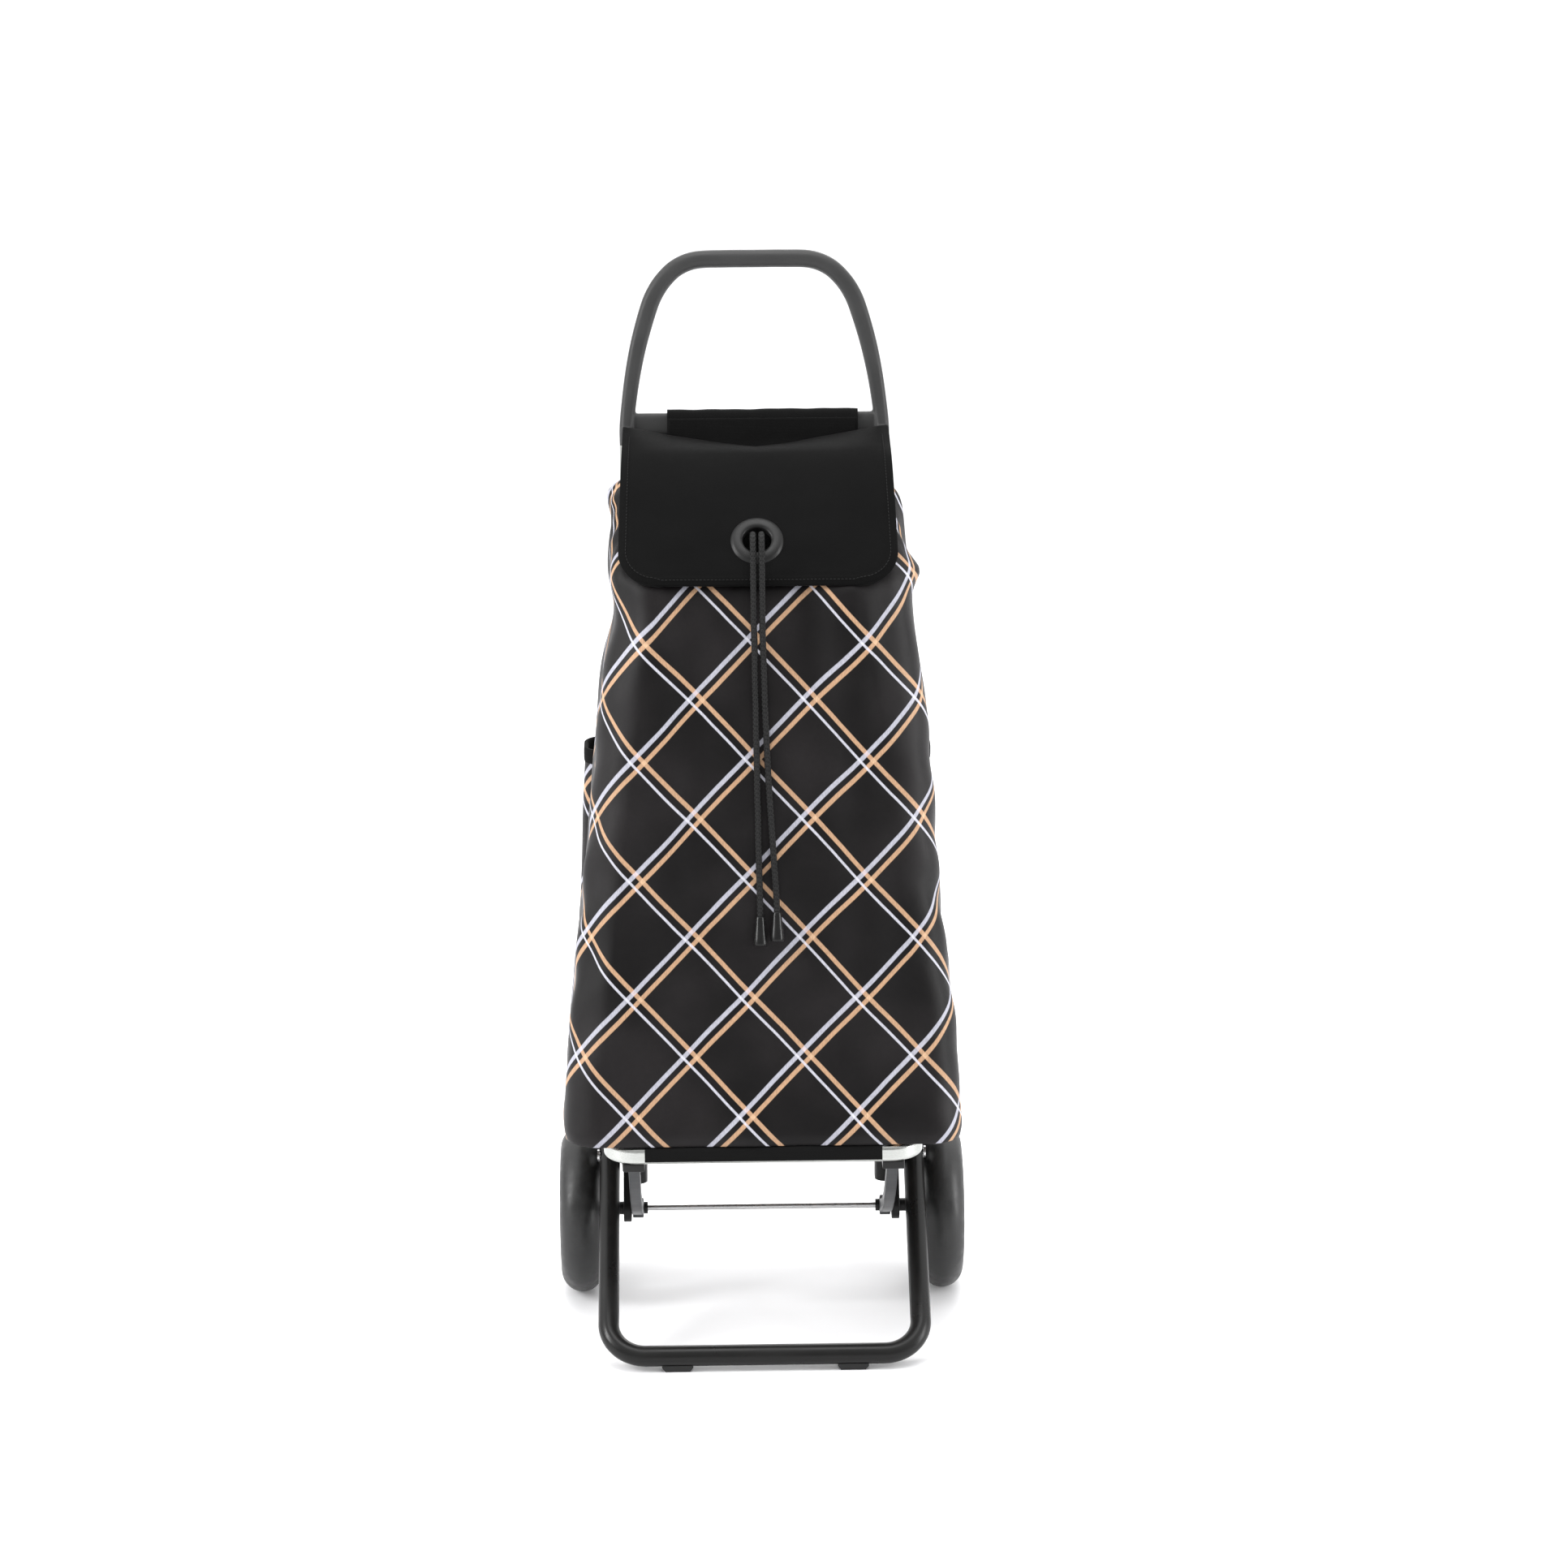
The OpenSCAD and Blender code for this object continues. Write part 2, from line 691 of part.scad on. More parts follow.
module pocket_binding() {
    top = pocket_rings[len(pocket_rings) - 1];
    binding_t = 3;
    binding_h = 4;
    half = top[0] - top[3];
    color("#151516") placed() translate([-half, top[2] - binding_t, top[4]])
        cube([2 * half, binding_t, binding_h]);
}

// Fabric sleeve round the crossbar that carries the bag's back
module hanging_sleeve() {
    half = 92.5;
    middle_x = 8;
    t = 2;
    color("#151516") placed() handle_frame() translate([middle_x - half, 0, 0]) rotate([90, 0, 90])
        linear_extrude(height = 2 * half) difference() {
            translate([crossbar_top - crossbar_h - t, -7 - t]) square([crossbar_h + 2 * t + 2, 14 + 2 * t]);
            translate([crossbar_top - crossbar_h, -7]) square([crossbar_h, 14]);
        }
}

// ---------- lid ----------

module flap_outline() {
    line = smooth(flap_profile, 3);
    polygon(concat(line, reversed(beside(line, flap_t, flap_t))));
}

// Children stand on the flap's straight front part, z pointing out of its top face
module on_flap() {
    translate([0, ring_at[0], ring_at[1]]) rotate([flap_slope, 0, 0]) children();
}

module lid_flap() {
    top_half = flap_half_w - 5;
    edge_z = flap_profile[len(flap_profile) - 1][1] - flap_t;
    r = flap_corner_r;
    color("#1d1d1f") placed() rod_x(-top_half, top_half, lid_bead_r, lid_pivot);
    color("#1d1d1f") placed() difference() {
        intersection() {
            extrude_x(-flap_half_w, flap_half_w) flap_outline();
            rotate([90, 0, 0]) linear_extrude(height = 400, center = true) union() {
                polygon([[-top_half, 880], [-flap_half_w, edge_z + r], [flap_half_w, edge_z + r],
                         [top_half, 880]]);
                translate([-flap_half_w + r, edge_z]) square([2 * (flap_half_w - r), r + eps]);
                for (s = [-1, 1]) translate([s * (flap_half_w - r), edge_z + r]) circle(r);
            }
        }
        on_flap() translate([0, 0, -10]) cylinder(h = 20, r = ring_hole_d / 2 + 1.5);
    }
}

module ring_front() {
    hole_r = ring_hole_d / 2;
    color("#2d2d2f") placed() on_flap() rotate_extrude($fn = 96) {
        difference() {
            translate([(hole_r + ring_d / 2) / 2, 0.1]) circle((ring_d / 2 - hole_r) / 2);
            translate([0, -20]) square([40, 20.1]);
            translate([0, 3.2]) square([40, 20]);
        }
        translate([hole_r, -flap_t - 0.1]) square([1.3, flap_t + 0.3]);
    }
}

module ring_back() {
    hole_r = ring_hole_d / 2;
    color("#2d2d2f") placed() on_flap() translate([0, 0, -flap_t - 1.6]) difference() {
        cylinder(h = 1.5, r = ring_d / 2 - 3);
        translate([0, 0, -1]) cylinder(h = 4, r = hole_r + 0.1);
    }
}

// ---------- drawstring ends ----------

module cord(route) {
    path = smooth(route, 3);
    color("#121213") placed()
        loft([for (i = [0 : len(path) - 1]) tube_ring(path, i, cord_d / 2, cord_sides)]);
}

module cord_left() cord(cord_left_route);
module cord_right() cord(cord_right_route);

// Bell-shaped end, leaning out from the bag's front: z runs down from the neck
module cord_tip(end) {
    tip_len = 26;
    tip_lean = 17;
    color("#101011") placed() translate(end) rotate([180 - tip_lean, 0, 0]) difference() {
        rotate_extrude() polygon([[0, -0.5], [4, -0.5], [4.6, 3], [5.2, 9], [6.2, 17], [6.4, 23],
                                  [5.4, tip_len], [0, tip_len]]);
        translate([0, 0, tip_len - 4]) cylinder(h = 6, r = 3);
    }
}

module cord_tip_left() cord_tip(cord_left_route[len(cord_left_route) - 1]);
module cord_tip_right() cord_tip(cord_right_route[len(cord_right_route) - 1]);

handle();
handle_screws();
rear_tube_left();
rear_tube_right();
rear_brace();
knuckle_left();
knuckle_right();
axle_rod();
axle_collars();
axle_spacers();
axle_push_nuts();
tyre_left();
tyre_right();
rim_left();
rim_right();
bush_left();
bush_right();
hub_cap_left();
hub_cap_right();
platform_bar();
platform_pins();
platform_spacers();
stay_seats();
bar_strap();
base_board();
stay_left();
stay_right();
foot_tube();
foot_plugs();
foot_pads();
foot_pins();
foot_spacers();
bag_shell();
mouth_hem();
back_board();
rear_pocket();
pocket_binding();
hanging_sleeve();
lid_flap();
ring_front();
ring_back();
cord_left();
cord_right();
cord_tip_left();
cord_tip_right();
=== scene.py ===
"""Looks of a two-wheeled shopping trolley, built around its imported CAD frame. Metres, front towards -Y."""

import json
import math

import bmesh
import bpy
import numpy as np
from mathutils import Matrix, Vector, noise


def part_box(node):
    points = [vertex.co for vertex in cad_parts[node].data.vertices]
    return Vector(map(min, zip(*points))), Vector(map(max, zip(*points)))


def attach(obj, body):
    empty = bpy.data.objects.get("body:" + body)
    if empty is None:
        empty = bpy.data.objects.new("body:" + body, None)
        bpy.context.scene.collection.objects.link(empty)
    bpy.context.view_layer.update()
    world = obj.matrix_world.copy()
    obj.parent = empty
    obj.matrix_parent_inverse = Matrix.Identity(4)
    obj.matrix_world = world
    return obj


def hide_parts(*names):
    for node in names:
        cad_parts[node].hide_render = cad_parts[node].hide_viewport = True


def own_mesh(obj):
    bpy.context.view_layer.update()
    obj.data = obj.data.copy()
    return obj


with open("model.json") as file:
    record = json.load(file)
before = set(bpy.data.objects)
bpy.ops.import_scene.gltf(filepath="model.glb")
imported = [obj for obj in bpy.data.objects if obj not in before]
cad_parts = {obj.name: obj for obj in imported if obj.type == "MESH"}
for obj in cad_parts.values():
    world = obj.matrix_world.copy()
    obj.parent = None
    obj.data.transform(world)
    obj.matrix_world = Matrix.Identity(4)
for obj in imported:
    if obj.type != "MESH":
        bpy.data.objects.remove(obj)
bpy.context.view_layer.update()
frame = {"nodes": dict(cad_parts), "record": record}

MM = 0.001
axle_low, axle_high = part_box("axle_rod")
AXLE_Y = (axle_low.y + axle_high.y) / 2


def at(x, y, z):
    """A point in metres from millimetres whose y is measured from the wheel axle, as in the CAD."""
    return np.array([x * MM, y * MM + AXLE_Y, z * MM])


# ---------- camera ----------

CAMERA_AT = Vector((-0.045, -4.069, 1.581))
CAMERA_PITCH = 0.251
CAMERA_YAW = 0.017
CAMERA_ROLL = -0.007
CAMERA_LENS = 100.4


def make_camera():
    camera = bpy.data.objects.new("camera", bpy.data.cameras.new("camera"))
    bpy.context.scene.collection.objects.link(camera)
    camera.data.lens = CAMERA_LENS
    camera.data.sensor_width = 36
    forward = Vector((math.sin(CAMERA_YAW) * math.cos(CAMERA_PITCH),
                      math.cos(CAMERA_YAW) * math.cos(CAMERA_PITCH),
                      -math.sin(CAMERA_PITCH)))
    right = Vector((math.cos(CAMERA_YAW), -math.sin(CAMERA_YAW), 0))
    up = right.cross(forward)
    rolled_right = math.cos(CAMERA_ROLL) * right + math.sin(CAMERA_ROLL) * up
    rolled_up = math.cos(CAMERA_ROLL) * up - math.sin(CAMERA_ROLL) * right
    turn = Matrix((rolled_right, rolled_up, -forward)).transposed()
    camera.matrix_world = Matrix.Translation(CAMERA_AT) @ turn.to_4x4()
    bpy.context.scene.camera = camera


make_camera()


# ---------- mesh helpers ----------

WELD_DISTANCE = 1e-6


def shown(name, mesh):
    """An object in the scene that holds the mesh."""
    obj = bpy.data.objects.new(name, mesh)
    bpy.context.scene.collection.objects.link(obj)
    return obj


def new_object(name, verts, faces, uvs=None):
    """A smooth-shaded mesh object; uvs holds one (u, v) for each corner of each face."""
    mesh = bpy.data.meshes.new(name)
    mesh.from_pydata([tuple(v) for v in verts], [], faces)
    if uvs is not None:
        layer = mesh.uv_layers.new(name="UVMap")
        layer.data.foreach_set("uv", np.asarray(uvs, np.float32).ravel())
    mesh.shade_smooth()
    return shown(name, mesh)


def grid(name, points, uv=None, closed=False, cap_start=False, cap_end=False):
    """A sheet, or with closed a tube, through points[row, column]; uv is one column wider when closed."""
    rows, cols = points.shape[:2]
    faces, corners = [], []
    for j in range(rows - 1):
        for i in range(cols if closed else cols - 1):
            k = (i + 1) % cols
            faces.append((j * cols + i, j * cols + k, (j + 1) * cols + k, (j + 1) * cols + i))
            if uv is not None:
                corners += [uv[j, i], uv[j, i + 1], uv[j + 1, i + 1], uv[j + 1, i]]
    for row, wanted in ((0, cap_start), (rows - 1, cap_end)):
        if wanted:
            ring = [row * cols + i for i in range(cols)]
            faces.append(tuple(reversed(ring)) if row == 0 else tuple(ring))
            if uv is not None:
                turns = reversed(range(cols)) if row == 0 else range(cols)
                corners += [uv[row, i] for i in turns]
    return new_object(name, points.reshape(-1, 3), faces, corners if uv is not None else None)


def baked(obj):
    """Applies obj's modifiers to its mesh."""
    bpy.context.view_layer.update()
    shape = obj.evaluated_get(bpy.context.evaluated_depsgraph_get())
    obj.data = bpy.data.meshes.new_from_object(shape)
    obj.modifiers.clear()
    obj.data.shade_smooth()
    return obj


def soften(obj, voxel, passes):
    """Makes one solid of the object's parts, with small rounds on every edge."""
    fine = obj.modifiers.new("fine", "REMESH")
    fine.mode = "VOXEL"
    fine.voxel_size = voxel
    soft = obj.modifiers.new("soft", "SMOOTH")
    soft.factor = 0.5
    soft.iterations = passes
    return baked(obj)


def thicken(obj, thickness, offset=-1.0, inside=0):
    """Gives a sheet its thickness; inside is how much further the inner faces' material slot is."""
    solid = obj.modifiers.new("thickness", "SOLIDIFY")
    solid.thickness = thickness
    solid.offset = offset
    solid.material_offset = inside
    return baked(obj)


def join(name, parts):
    """One object from several, with their materials."""
    mesh = bpy.data.meshes.new(name)
    whole = bmesh.new()
    materials = []
    for part in parts:
        part.data.transform(part.matrix_world)
        first = len(whole.faces)
        whole.from_mesh(part.data)
        whole.faces.ensure_lookup_table()
        own = list(part.data.materials)
        materials += [m for m in own if m not in materials]
        for face in whole.faces[first:]:
            face.material_index = materials.index(own[face.material_index]) if own else 0
    whole.to_mesh(mesh)
    whole.free()
    for part in parts:
        bpy.data.objects.remove(part)
    for m in materials:
        mesh.materials.append(m)
    mesh.shade_smooth()
    return shown(name, mesh)


def smooth_line(points, steps):
    """Points on a smooth curve through the given ones, with steps between two of them."""
    p = np.asarray(points, float)
    out = []
    for i in range(len(p) - 1):
        a, b, c, d = p[max(i - 1, 0)], p[i], p[i + 1], p[min(i + 2, len(p) - 1)]
        for t in np.arange(steps) / steps:
            out.append(0.5 * (2 * b + (c - a) * t + (2 * a - 5 * b + 4 * c - d) * t ** 2
                              + (3 * b - a - 3 * c + d) * t ** 3))
    out.append(p[-1])
    return np.array(out)


def run_of(line):
    """The distance along the line from its start to each of its points."""
    return np.concatenate([[0], np.cumsum(np.linalg.norm(np.diff(line, axis=0), axis=1))])


def evened(points, count, columns=None):
    """The line resampled to count points an equal way apart, measured on the given columns."""
    p = np.asarray(points, float)
    measured = p if columns is None else p[:, columns]
    way = run_of(measured)
    marks = np.linspace(0, way[-1], count)
    return np.stack([np.interp(marks, way, p[:, k]) for k in range(p.shape[1])], axis=1)


def ramp(x, low, high):
    """0 below low, 1 above high, smooth between."""
    t = np.clip((np.asarray(x, float) - low) / (high - low), 0, 1)
    return t * t * (3 - 2 * t)


def bump_at(x, centre, width):
    """A smooth bump, 1 at the centre, that has died out about two widths away."""
    return np.exp(-((np.asarray(x, float) - centre) / width) ** 2)


def wobble(points, size, seed):
    """Smooth noise from about -1 to 1 at points whose last axis is x, y, z."""
    flat = points.reshape(-1, 3)
    shift = Vector((seed * 7.3, seed * 3.1, seed * 5.7))
    values = [noise.noise(Vector(p) / size + shift) for p in flat]
    return np.array(values).reshape(points.shape[:-1])


def level_axes(ahead):
    """Two directions square to ahead, the first level."""
    u = np.cross(ahead, [0.001, 0, 1])
    u /= np.linalg.norm(u)
    return u, np.cross(u, ahead)


def crosswise_axes(ahead):
    """Two directions square to ahead, the first square to X."""
    u = np.cross(ahead, [1, 0, 0.001])
    u /= np.linalg.norm(u)
    return u, np.cross(ahead, u)


def sweep(name, path, section, closed=False, caps=True, axes=level_axes):
    """A tube: section(i) gives ring i's offsets along the two directions that axes gives."""
    n = len(path)
    rings, lengths = [], [0.0]
    for i in range(n):
        before = path[(i - 1) % n] if closed else path[max(i - 1, 0)]
        after = path[(i + 1) % n] if closed else path[min(i + 1, n - 1)]
        ahead = (after - before) / np.linalg.norm(after - before)
        u, v = axes(ahead)
        rings.append([path[i] + a * u + b * v for a, b in section(i)])
        if i:
            lengths.append(lengths[-1] + np.linalg.norm(path[i] - path[i - 1]))
    rings = np.array(rings)
    around = rings.shape[1]
    edge = np.linalg.norm(np.roll(rings, -1, axis=1) - rings, axis=2)
    uv = np.zeros((n, around + 1, 2))
    uv[:, 1:, 0] = np.cumsum(edge, axis=1)
    uv[:, :, 1] = np.array(lengths)[:, None]
    if closed:
        rings = np.concatenate([rings, rings[:1]])
        last = lengths[-1] + np.linalg.norm(path[0] - path[-1])
        uv = np.concatenate([uv, uv[:1]])
        uv[-1, :, 1] = last
    obj = grid(name, rings, uv, closed=True, cap_start=caps and not closed, cap_end=caps and not closed)
    if closed:
        weld(obj)
    return obj


def weld(obj):
    """Joins points that lie together and turns every face outwards."""
    shape = bmesh.new()
    shape.from_mesh(obj.data)
    bmesh.ops.remove_doubles(shape, verts=shape.verts, dist=WELD_DISTANCE)
    bmesh.ops.recalc_face_normals(shape, faces=shape.faces)
    shape.to_mesh(obj.data)
    shape.free()


def circle(radius, sides):
    turn = 2 * math.pi * np.arange(sides) / sides
    return np.stack([radius * np.cos(turn), radius * np.sin(turn)], axis=1)


def rounded_box(half_a, half_b, power, sides):
    """Outline between an ellipse (power 2) and a rectangle (high power)."""
    turn = 2 * math.pi * (np.arange(sides) + 0.5) / sides
    c, s = np.cos(turn), np.sin(turn)
    return np.stack([half_a * np.sign(c) * np.abs(c) ** (2 / power),
                     half_b * np.sign(s) * np.abs(s) ** (2 / power)], axis=1)


def lathe(name, profile, place, sides=96, steps=1):
    """A turned piece: profile is closed (radius, height) points in metres, place a 4x4 matrix."""
    line = np.asarray(profile, float)
    if steps > 1:
        line = smooth_line(line, steps)
    turn = 2 * math.pi * np.arange(sides) / sides
    points = np.stack([line[:, 0, None] * np.cos(turn), line[:, 0, None] * np.sin(turn),
                       np.repeat(line[:, 1, None], sides, axis=1)], axis=2)
    obj = grid(name, points, closed=True)
    weld(obj)
    obj.data.transform(place)
    return obj


def mould(name, source, voxel, passes):
    """A copy of CAD nodes with the small rounds of a moulding on every edge."""
    whole = bmesh.new()
    for node in source:
        whole.from_mesh(frame["nodes"][node].data)
    mesh = bpy.data.meshes.new(name)
    whole.to_mesh(mesh)
    whole.free()
    return soften(shown(name, mesh), voxel, passes)


# ---------- materials ----------

class Nodes:
    """Short ways to add nodes to a material's or the world's node tree."""

    def __init__(self, owner):
        owner.use_nodes = True
        self.tree = owner.node_tree

    def node(self, kind, links=(), **settings):
        """links are (input name or number, value or output socket) pairs."""
        made = self.tree.nodes.new("ShaderNode" + kind)
        for key, value in settings.items():
            setattr(made, key, value)
        for key, value in links:
            self.put(made.inputs[key], value)
        return made

    def put(self, socket, value):
        if isinstance(value, bpy.types.NodeSocket):
            self.tree.links.new(value, socket)
        else:
            socket.default_value = value

    def math(self, operation, a, b=0.0, c=0.0):
        return self.node("Math", ((0, a), (1, b), (2, c)), operation=operation).outputs[0]

    def span(self, value, low, high, to_low=0.0, to_high=1.0):
        """The value's smooth way from low to high, turned into one from to_low to to_high."""
        links = ((0, value), (1, low), (2, high), (3, to_low), (4, to_high))
        return self.node("MapRange", links, interpolation_type="SMOOTHSTEP").outputs[0]


class Shade(Nodes):
    """A Principled material."""

    def __init__(self, name, roughness, metallic=0.0, specular=0.5):
        self.material = bpy.data.materials.new(name)
        super().__init__(self.material)
        self.shader = self.tree.nodes["Principled BSDF"]
        self.set("Roughness", roughness)
        self.set("Metallic", metallic)
        self.set("Specular IOR Level", specular)

    def set(self, socket, value):
        self.shader.inputs[socket].default_value = value

    def place(self):
        return self.node("TexCoord").outputs["Object"]

    def cloth(self):
        return self.node("UVMap", uv_map="UVMap").outputs["UV"]

    def stretched(self, place, scale):
        return self.node("Mapping", (("Vector", place), ("Scale", scale))).outputs[0]

    def noise(self, place, size, detail=3.0, roughness=0.55):
        """Noise from about 0 to 1 with lumps of a size in metres."""
        made = self.node("TexNoise", (("Vector", place), ("Scale", 1 / size), ("Detail", detail),
                                      ("Roughness", roughness)))
        return made.outputs[0]

    def mix(self, share, a, b, blend="MIX"):
        made = self.node("Mix", data_type="RGBA", blend_type=blend)
        for key, value in ((0, share), (6, a), (7, b)):
            self.put(made.inputs[key], value)
        return made.outputs[2]

    def feed(self, socket, value):
        self.tree.links.new(value, self.shader.inputs[socket])

    def bump(self, height, distance, strength=1.0, below=None):
        links = [("Height", height), ("Distance", distance), ("Strength", strength)]
        if below is not None:
            links.append(("Normal", below))
        return self.node("Bump", links).outputs[0]


def grey(value, warm=0.0):
    """A grey in linear light, warm or cool by a share."""
    return (value * (1 + warm), value, value * (1 - warm), 1.0)


def tint(colour, factor):
    return (colour[0] * factor, colour[1] * factor, colour[2] * factor, 1.0)


def plastic(name, colour, roughness, grain=0.0006, depth=0.00004):
    """Moulded plastic with a fine spark-eroded grain, handling sheen and faint scuffs."""
    s = Shade(name, roughness, specular=0.25)
    place = s.place()
    cloud = s.noise(place, 0.035, 4)
    s.feed("Base Color", s.mix(cloud, tint(colour, 0.82), tint(colour, 1.2)))
    scuffs = s.span(s.noise(s.stretched(place, (1, 1, 7)), 0.004, 5, 0.7), 0.56, 0.72)
    s.feed("Roughness", s.math("ADD", s.span(cloud, 0.3, 0.7, roughness - 0.05, roughness + 0.06),
                               s.math("MULTIPLY", scuffs, 0.09)))
    fine = s.bump(s.noise(place, grain, 2), depth)
    s.feed("Normal", s.bump(cloud, 0.0002, 0.5, fine))
    return s.material


def metal(name, colour, roughness, grain_axis):
    """Drawn or brushed metal; grain_axis is the direction, 0 to 2, that its fine lines follow."""
    s = Shade(name, roughness, 1.0)
    place = s.place()
    squeeze = [1.0, 1.0, 1.0]
    squeeze[grain_axis] = 0.03
    lines = s.noise(s.stretched(place, squeeze), 0.0009, 3, 0.6)
    cloud = s.noise(place, 0.02, 4)
    s.feed("Base Color", s.mix(cloud, tint(colour, 0.86), tint(colour, 1.06)))
    s.feed("Roughness", s.span(s.math("ADD", lines, cloud), 0.7, 1.3, roughness - 0.06, roughness + 0.12))
    s.feed("Normal", s.bump(lines, 0.00005, 0.6))
    return s.material


def paint(name, colour, roughness):
    """Powder paint on tube: faint orange peel, patchy dust, small rubbed marks."""
    s = Shade(name, roughness, specular=0.2)
    s.set("Coat Weight", 0.05)
    s.set("Coat Roughness", 0.2)
    place = s.place()
    cloud = s.noise(place, 0.05, 5)
    marks = s.span(s.noise(s.stretched(place, (1, 1, 4)), 0.003, 6, 0.75), 0.62, 0.75)
    worn = s.mix(marks, tint(colour, 1.0), tint(colour, 2.0))
    s.feed("Base Color", s.mix(s.math("MULTIPLY", cloud, 0.12), worn, grey(0.05, 0.05)))
    s.feed("Roughness", s.span(cloud, 0.3, 0.7, roughness - 0.05, roughness + 0.1))
    s.feed("Normal", s.bump(s.noise(place, 0.0016, 2), 0.00006, 0.5))
    return s.material


def rubber(name, colour, roughness, wheel=False):
    """Rubber with a faint bloom; a wheel's pores are coarser."""
    s = Shade(name, roughness, specular=0.4)
    place = s.place()
    cloud = s.noise(place, 0.012, 5, 0.65)
    bloom = s.mix(s.span(cloud, 0.35, 0.8, 0.0, 0.5), tint(colour, 0.85), tint(colour, 2.2))
    s.feed("Base Color", bloom)
    s.feed("Roughness", s.span(cloud, 0.3, 0.7, roughness - 0.06, roughness + 0.12))
    pores = s.bump(s.noise(place, 0.0009 if wheel else 0.0006, 3), 0.00008, 0.5)
    s.feed("Normal", s.bump(cloud, 0.0004, 0.4, pores))
    return s.material


def woven(s, thread, depth, place):
    """Height of a plain weave of the given thread pitch, and the bump from it."""
    scaled = s.node("VectorMath", ((0, place), (1, (math.pi / thread,) * 3)), operation="MULTIPLY")
    split = s.node("SeparateXYZ", ((0, scaled.outputs[0]),))
    across = s.math("SINE", split.outputs[0])
    along = s.math("SINE", split.outputs[1])
    over = s.math("MULTIPLY", across, along)
    height = s.math("MULTIPLY", over, over)
    lumps = s.noise(place, thread * 9, 3)
    total = s.math("MULTIPLY_ADD", lumps, 0.6, height)
    return total, s.bump(total, depth, 0.7)


def fabric(name, colour, thread=0.0008, roughness=0.85, sheen=0.02, depth=0.00012, slubs=0.3):
    """Woven cloth that reads its UVs in metres."""
    s = Shade(name, roughness, specular=0.03)
    s.set("Sheen Weight", sheen)
    s.set("Sheen Roughness", 0.45)
    place = s.cloth()
    weave, normal = woven(s, thread, depth, place)
    cloud = s.noise(place, 0.04, 4)
    base = s.mix(cloud, tint(colour, 0.8), tint(colour, 1.25))
    slub = s.noise(s.stretched(place, (1, 0.08, 1)), thread * 3, 2)
    base = s.mix(s.math("MULTIPLY", slub, slubs), base, tint(colour, 1.7))
    s.feed("Base Color", s.mix(s.span(weave, 0.1, 1.2, 0.35, 0.0), base, tint(colour, 0.4)))
    s.feed("Normal", normal)
    return s.material


STRIPE_ACROSS = 0.108     # from one crossing to the next, across the cloth
STRIPE_ALONG = 0.1128     # and along it
STRIPE_START = (-0.0173, 0.037)
STRIPE_SKEW = 0.027       # how far the pattern leans to the right, a metre up
STRIPE_APART = 0.06       # half the gap between a pair's lines, as a share of the repeat
STRIPE_WIDE = 0.027       # half widths, as shares of the repeat too
STRIPE_MIDDLING = 0.026
STRIPE_NARROW = 0.015
STRIPE_SOFT = 0.005       # how far a line's edge fades
STRIPE_SILVER = (0.41, 0.41, 0.47, 1)
STRIPE_WHITE = (0.50, 0.50, 0.56, 1)
STRIPE_TAN = (0.47, 0.29, 0.175, 1)
CHARCOAL = (0.0046, 0.0040, 0.0042, 1)


def striped(name):
    """Charcoal cloth with diagonal pairs of woven stripes that cross in diamonds."""
    s = Shade(name, 0.42, specular=0.15)
    s.set("Sheen Weight", 0.01)
    s.set("Sheen Roughness", 0.4)
    s.set("Sheen Tint", (0.9, 0.86, 0.9, 1))
    place = s.cloth()
    weave, normal = woven(s, 0.0008, 0.0001, place)
    split = s.node("SeparateXYZ", ((0, place),))
    drift = s.math("MULTIPLY_ADD", s.noise(place, 0.05, 2), 0.0016, -0.0008)
    u = s.math("ADD", split.outputs[0], drift)
    u = s.math("SUBTRACT", u, s.math("MULTIPLY", split.outputs[1], STRIPE_SKEW))
    u = s.math("MULTIPLY_ADD", u, 1 / STRIPE_ACROSS, -STRIPE_START[0] / STRIPE_ACROSS)
    v = s.math("MULTIPLY_ADD", split.outputs[1], 1 / STRIPE_ALONG, -STRIPE_START[1] / STRIPE_ALONG)
    rising = s.math("SUBTRACT", u, v)
    falling = s.math("ADD", u, v)

    def line(way, centre, half):
        near = s.math("SUBTRACT", s.math("FRACT", s.math("ADD", way, 0.5 - centre)), 0.5)
        return s.span(s.math("ABSOLUTE", near), half - STRIPE_SOFT, half + STRIPE_SOFT, 1.0, 0.0)

    cloud = s.noise(place, 0.03, 4)
    # painted sheen and shade: broad lighter and darker patches in the ground colour stand in for the light
    # that the cloth's folds catch and lose
    sheen_and_shade_patches = s.span(s.noise(place, 0.13, 2), 0.36, 0.66)
    ground = s.mix(sheen_and_shade_patches, tint(CHARCOAL, 0.4), tint(CHARCOAL, 2.4))
    ground = s.mix(s.math("MULTIPLY", cloud, 0.5), ground, tint(CHARCOAL, 1.5))
    ground = s.mix(s.span(weave, 0.1, 1.2, 0.4, 0.0), ground, tint(CHARCOAL, 0.35))
    up = s.mix(line(rising, -STRIPE_APART, STRIPE_WIDE), ground, STRIPE_SILVER)
    up = s.mix(line(rising, STRIPE_APART, STRIPE_WIDE), up, STRIPE_TAN)
    down = s.mix(line(falling, STRIPE_APART, STRIPE_MIDDLING), ground, STRIPE_TAN)
    down = s.mix(line(falling, -STRIPE_APART, STRIPE_NARROW), down, STRIPE_WHITE)
    both = s.mix(0.55, s.mix(1.0, up, down, "LIGHTEN"), s.mix(1.0, up, down, "SCREEN"))
    twill = s.noise(s.stretched(place, (1, 0.25, 1)), 0.0011, 2)
    s.feed("Base Color", s.mix(s.span(twill, 0.35, 0.7, 0.0, 0.22), both, ground))
    s.feed("Normal", normal)
    return s.material


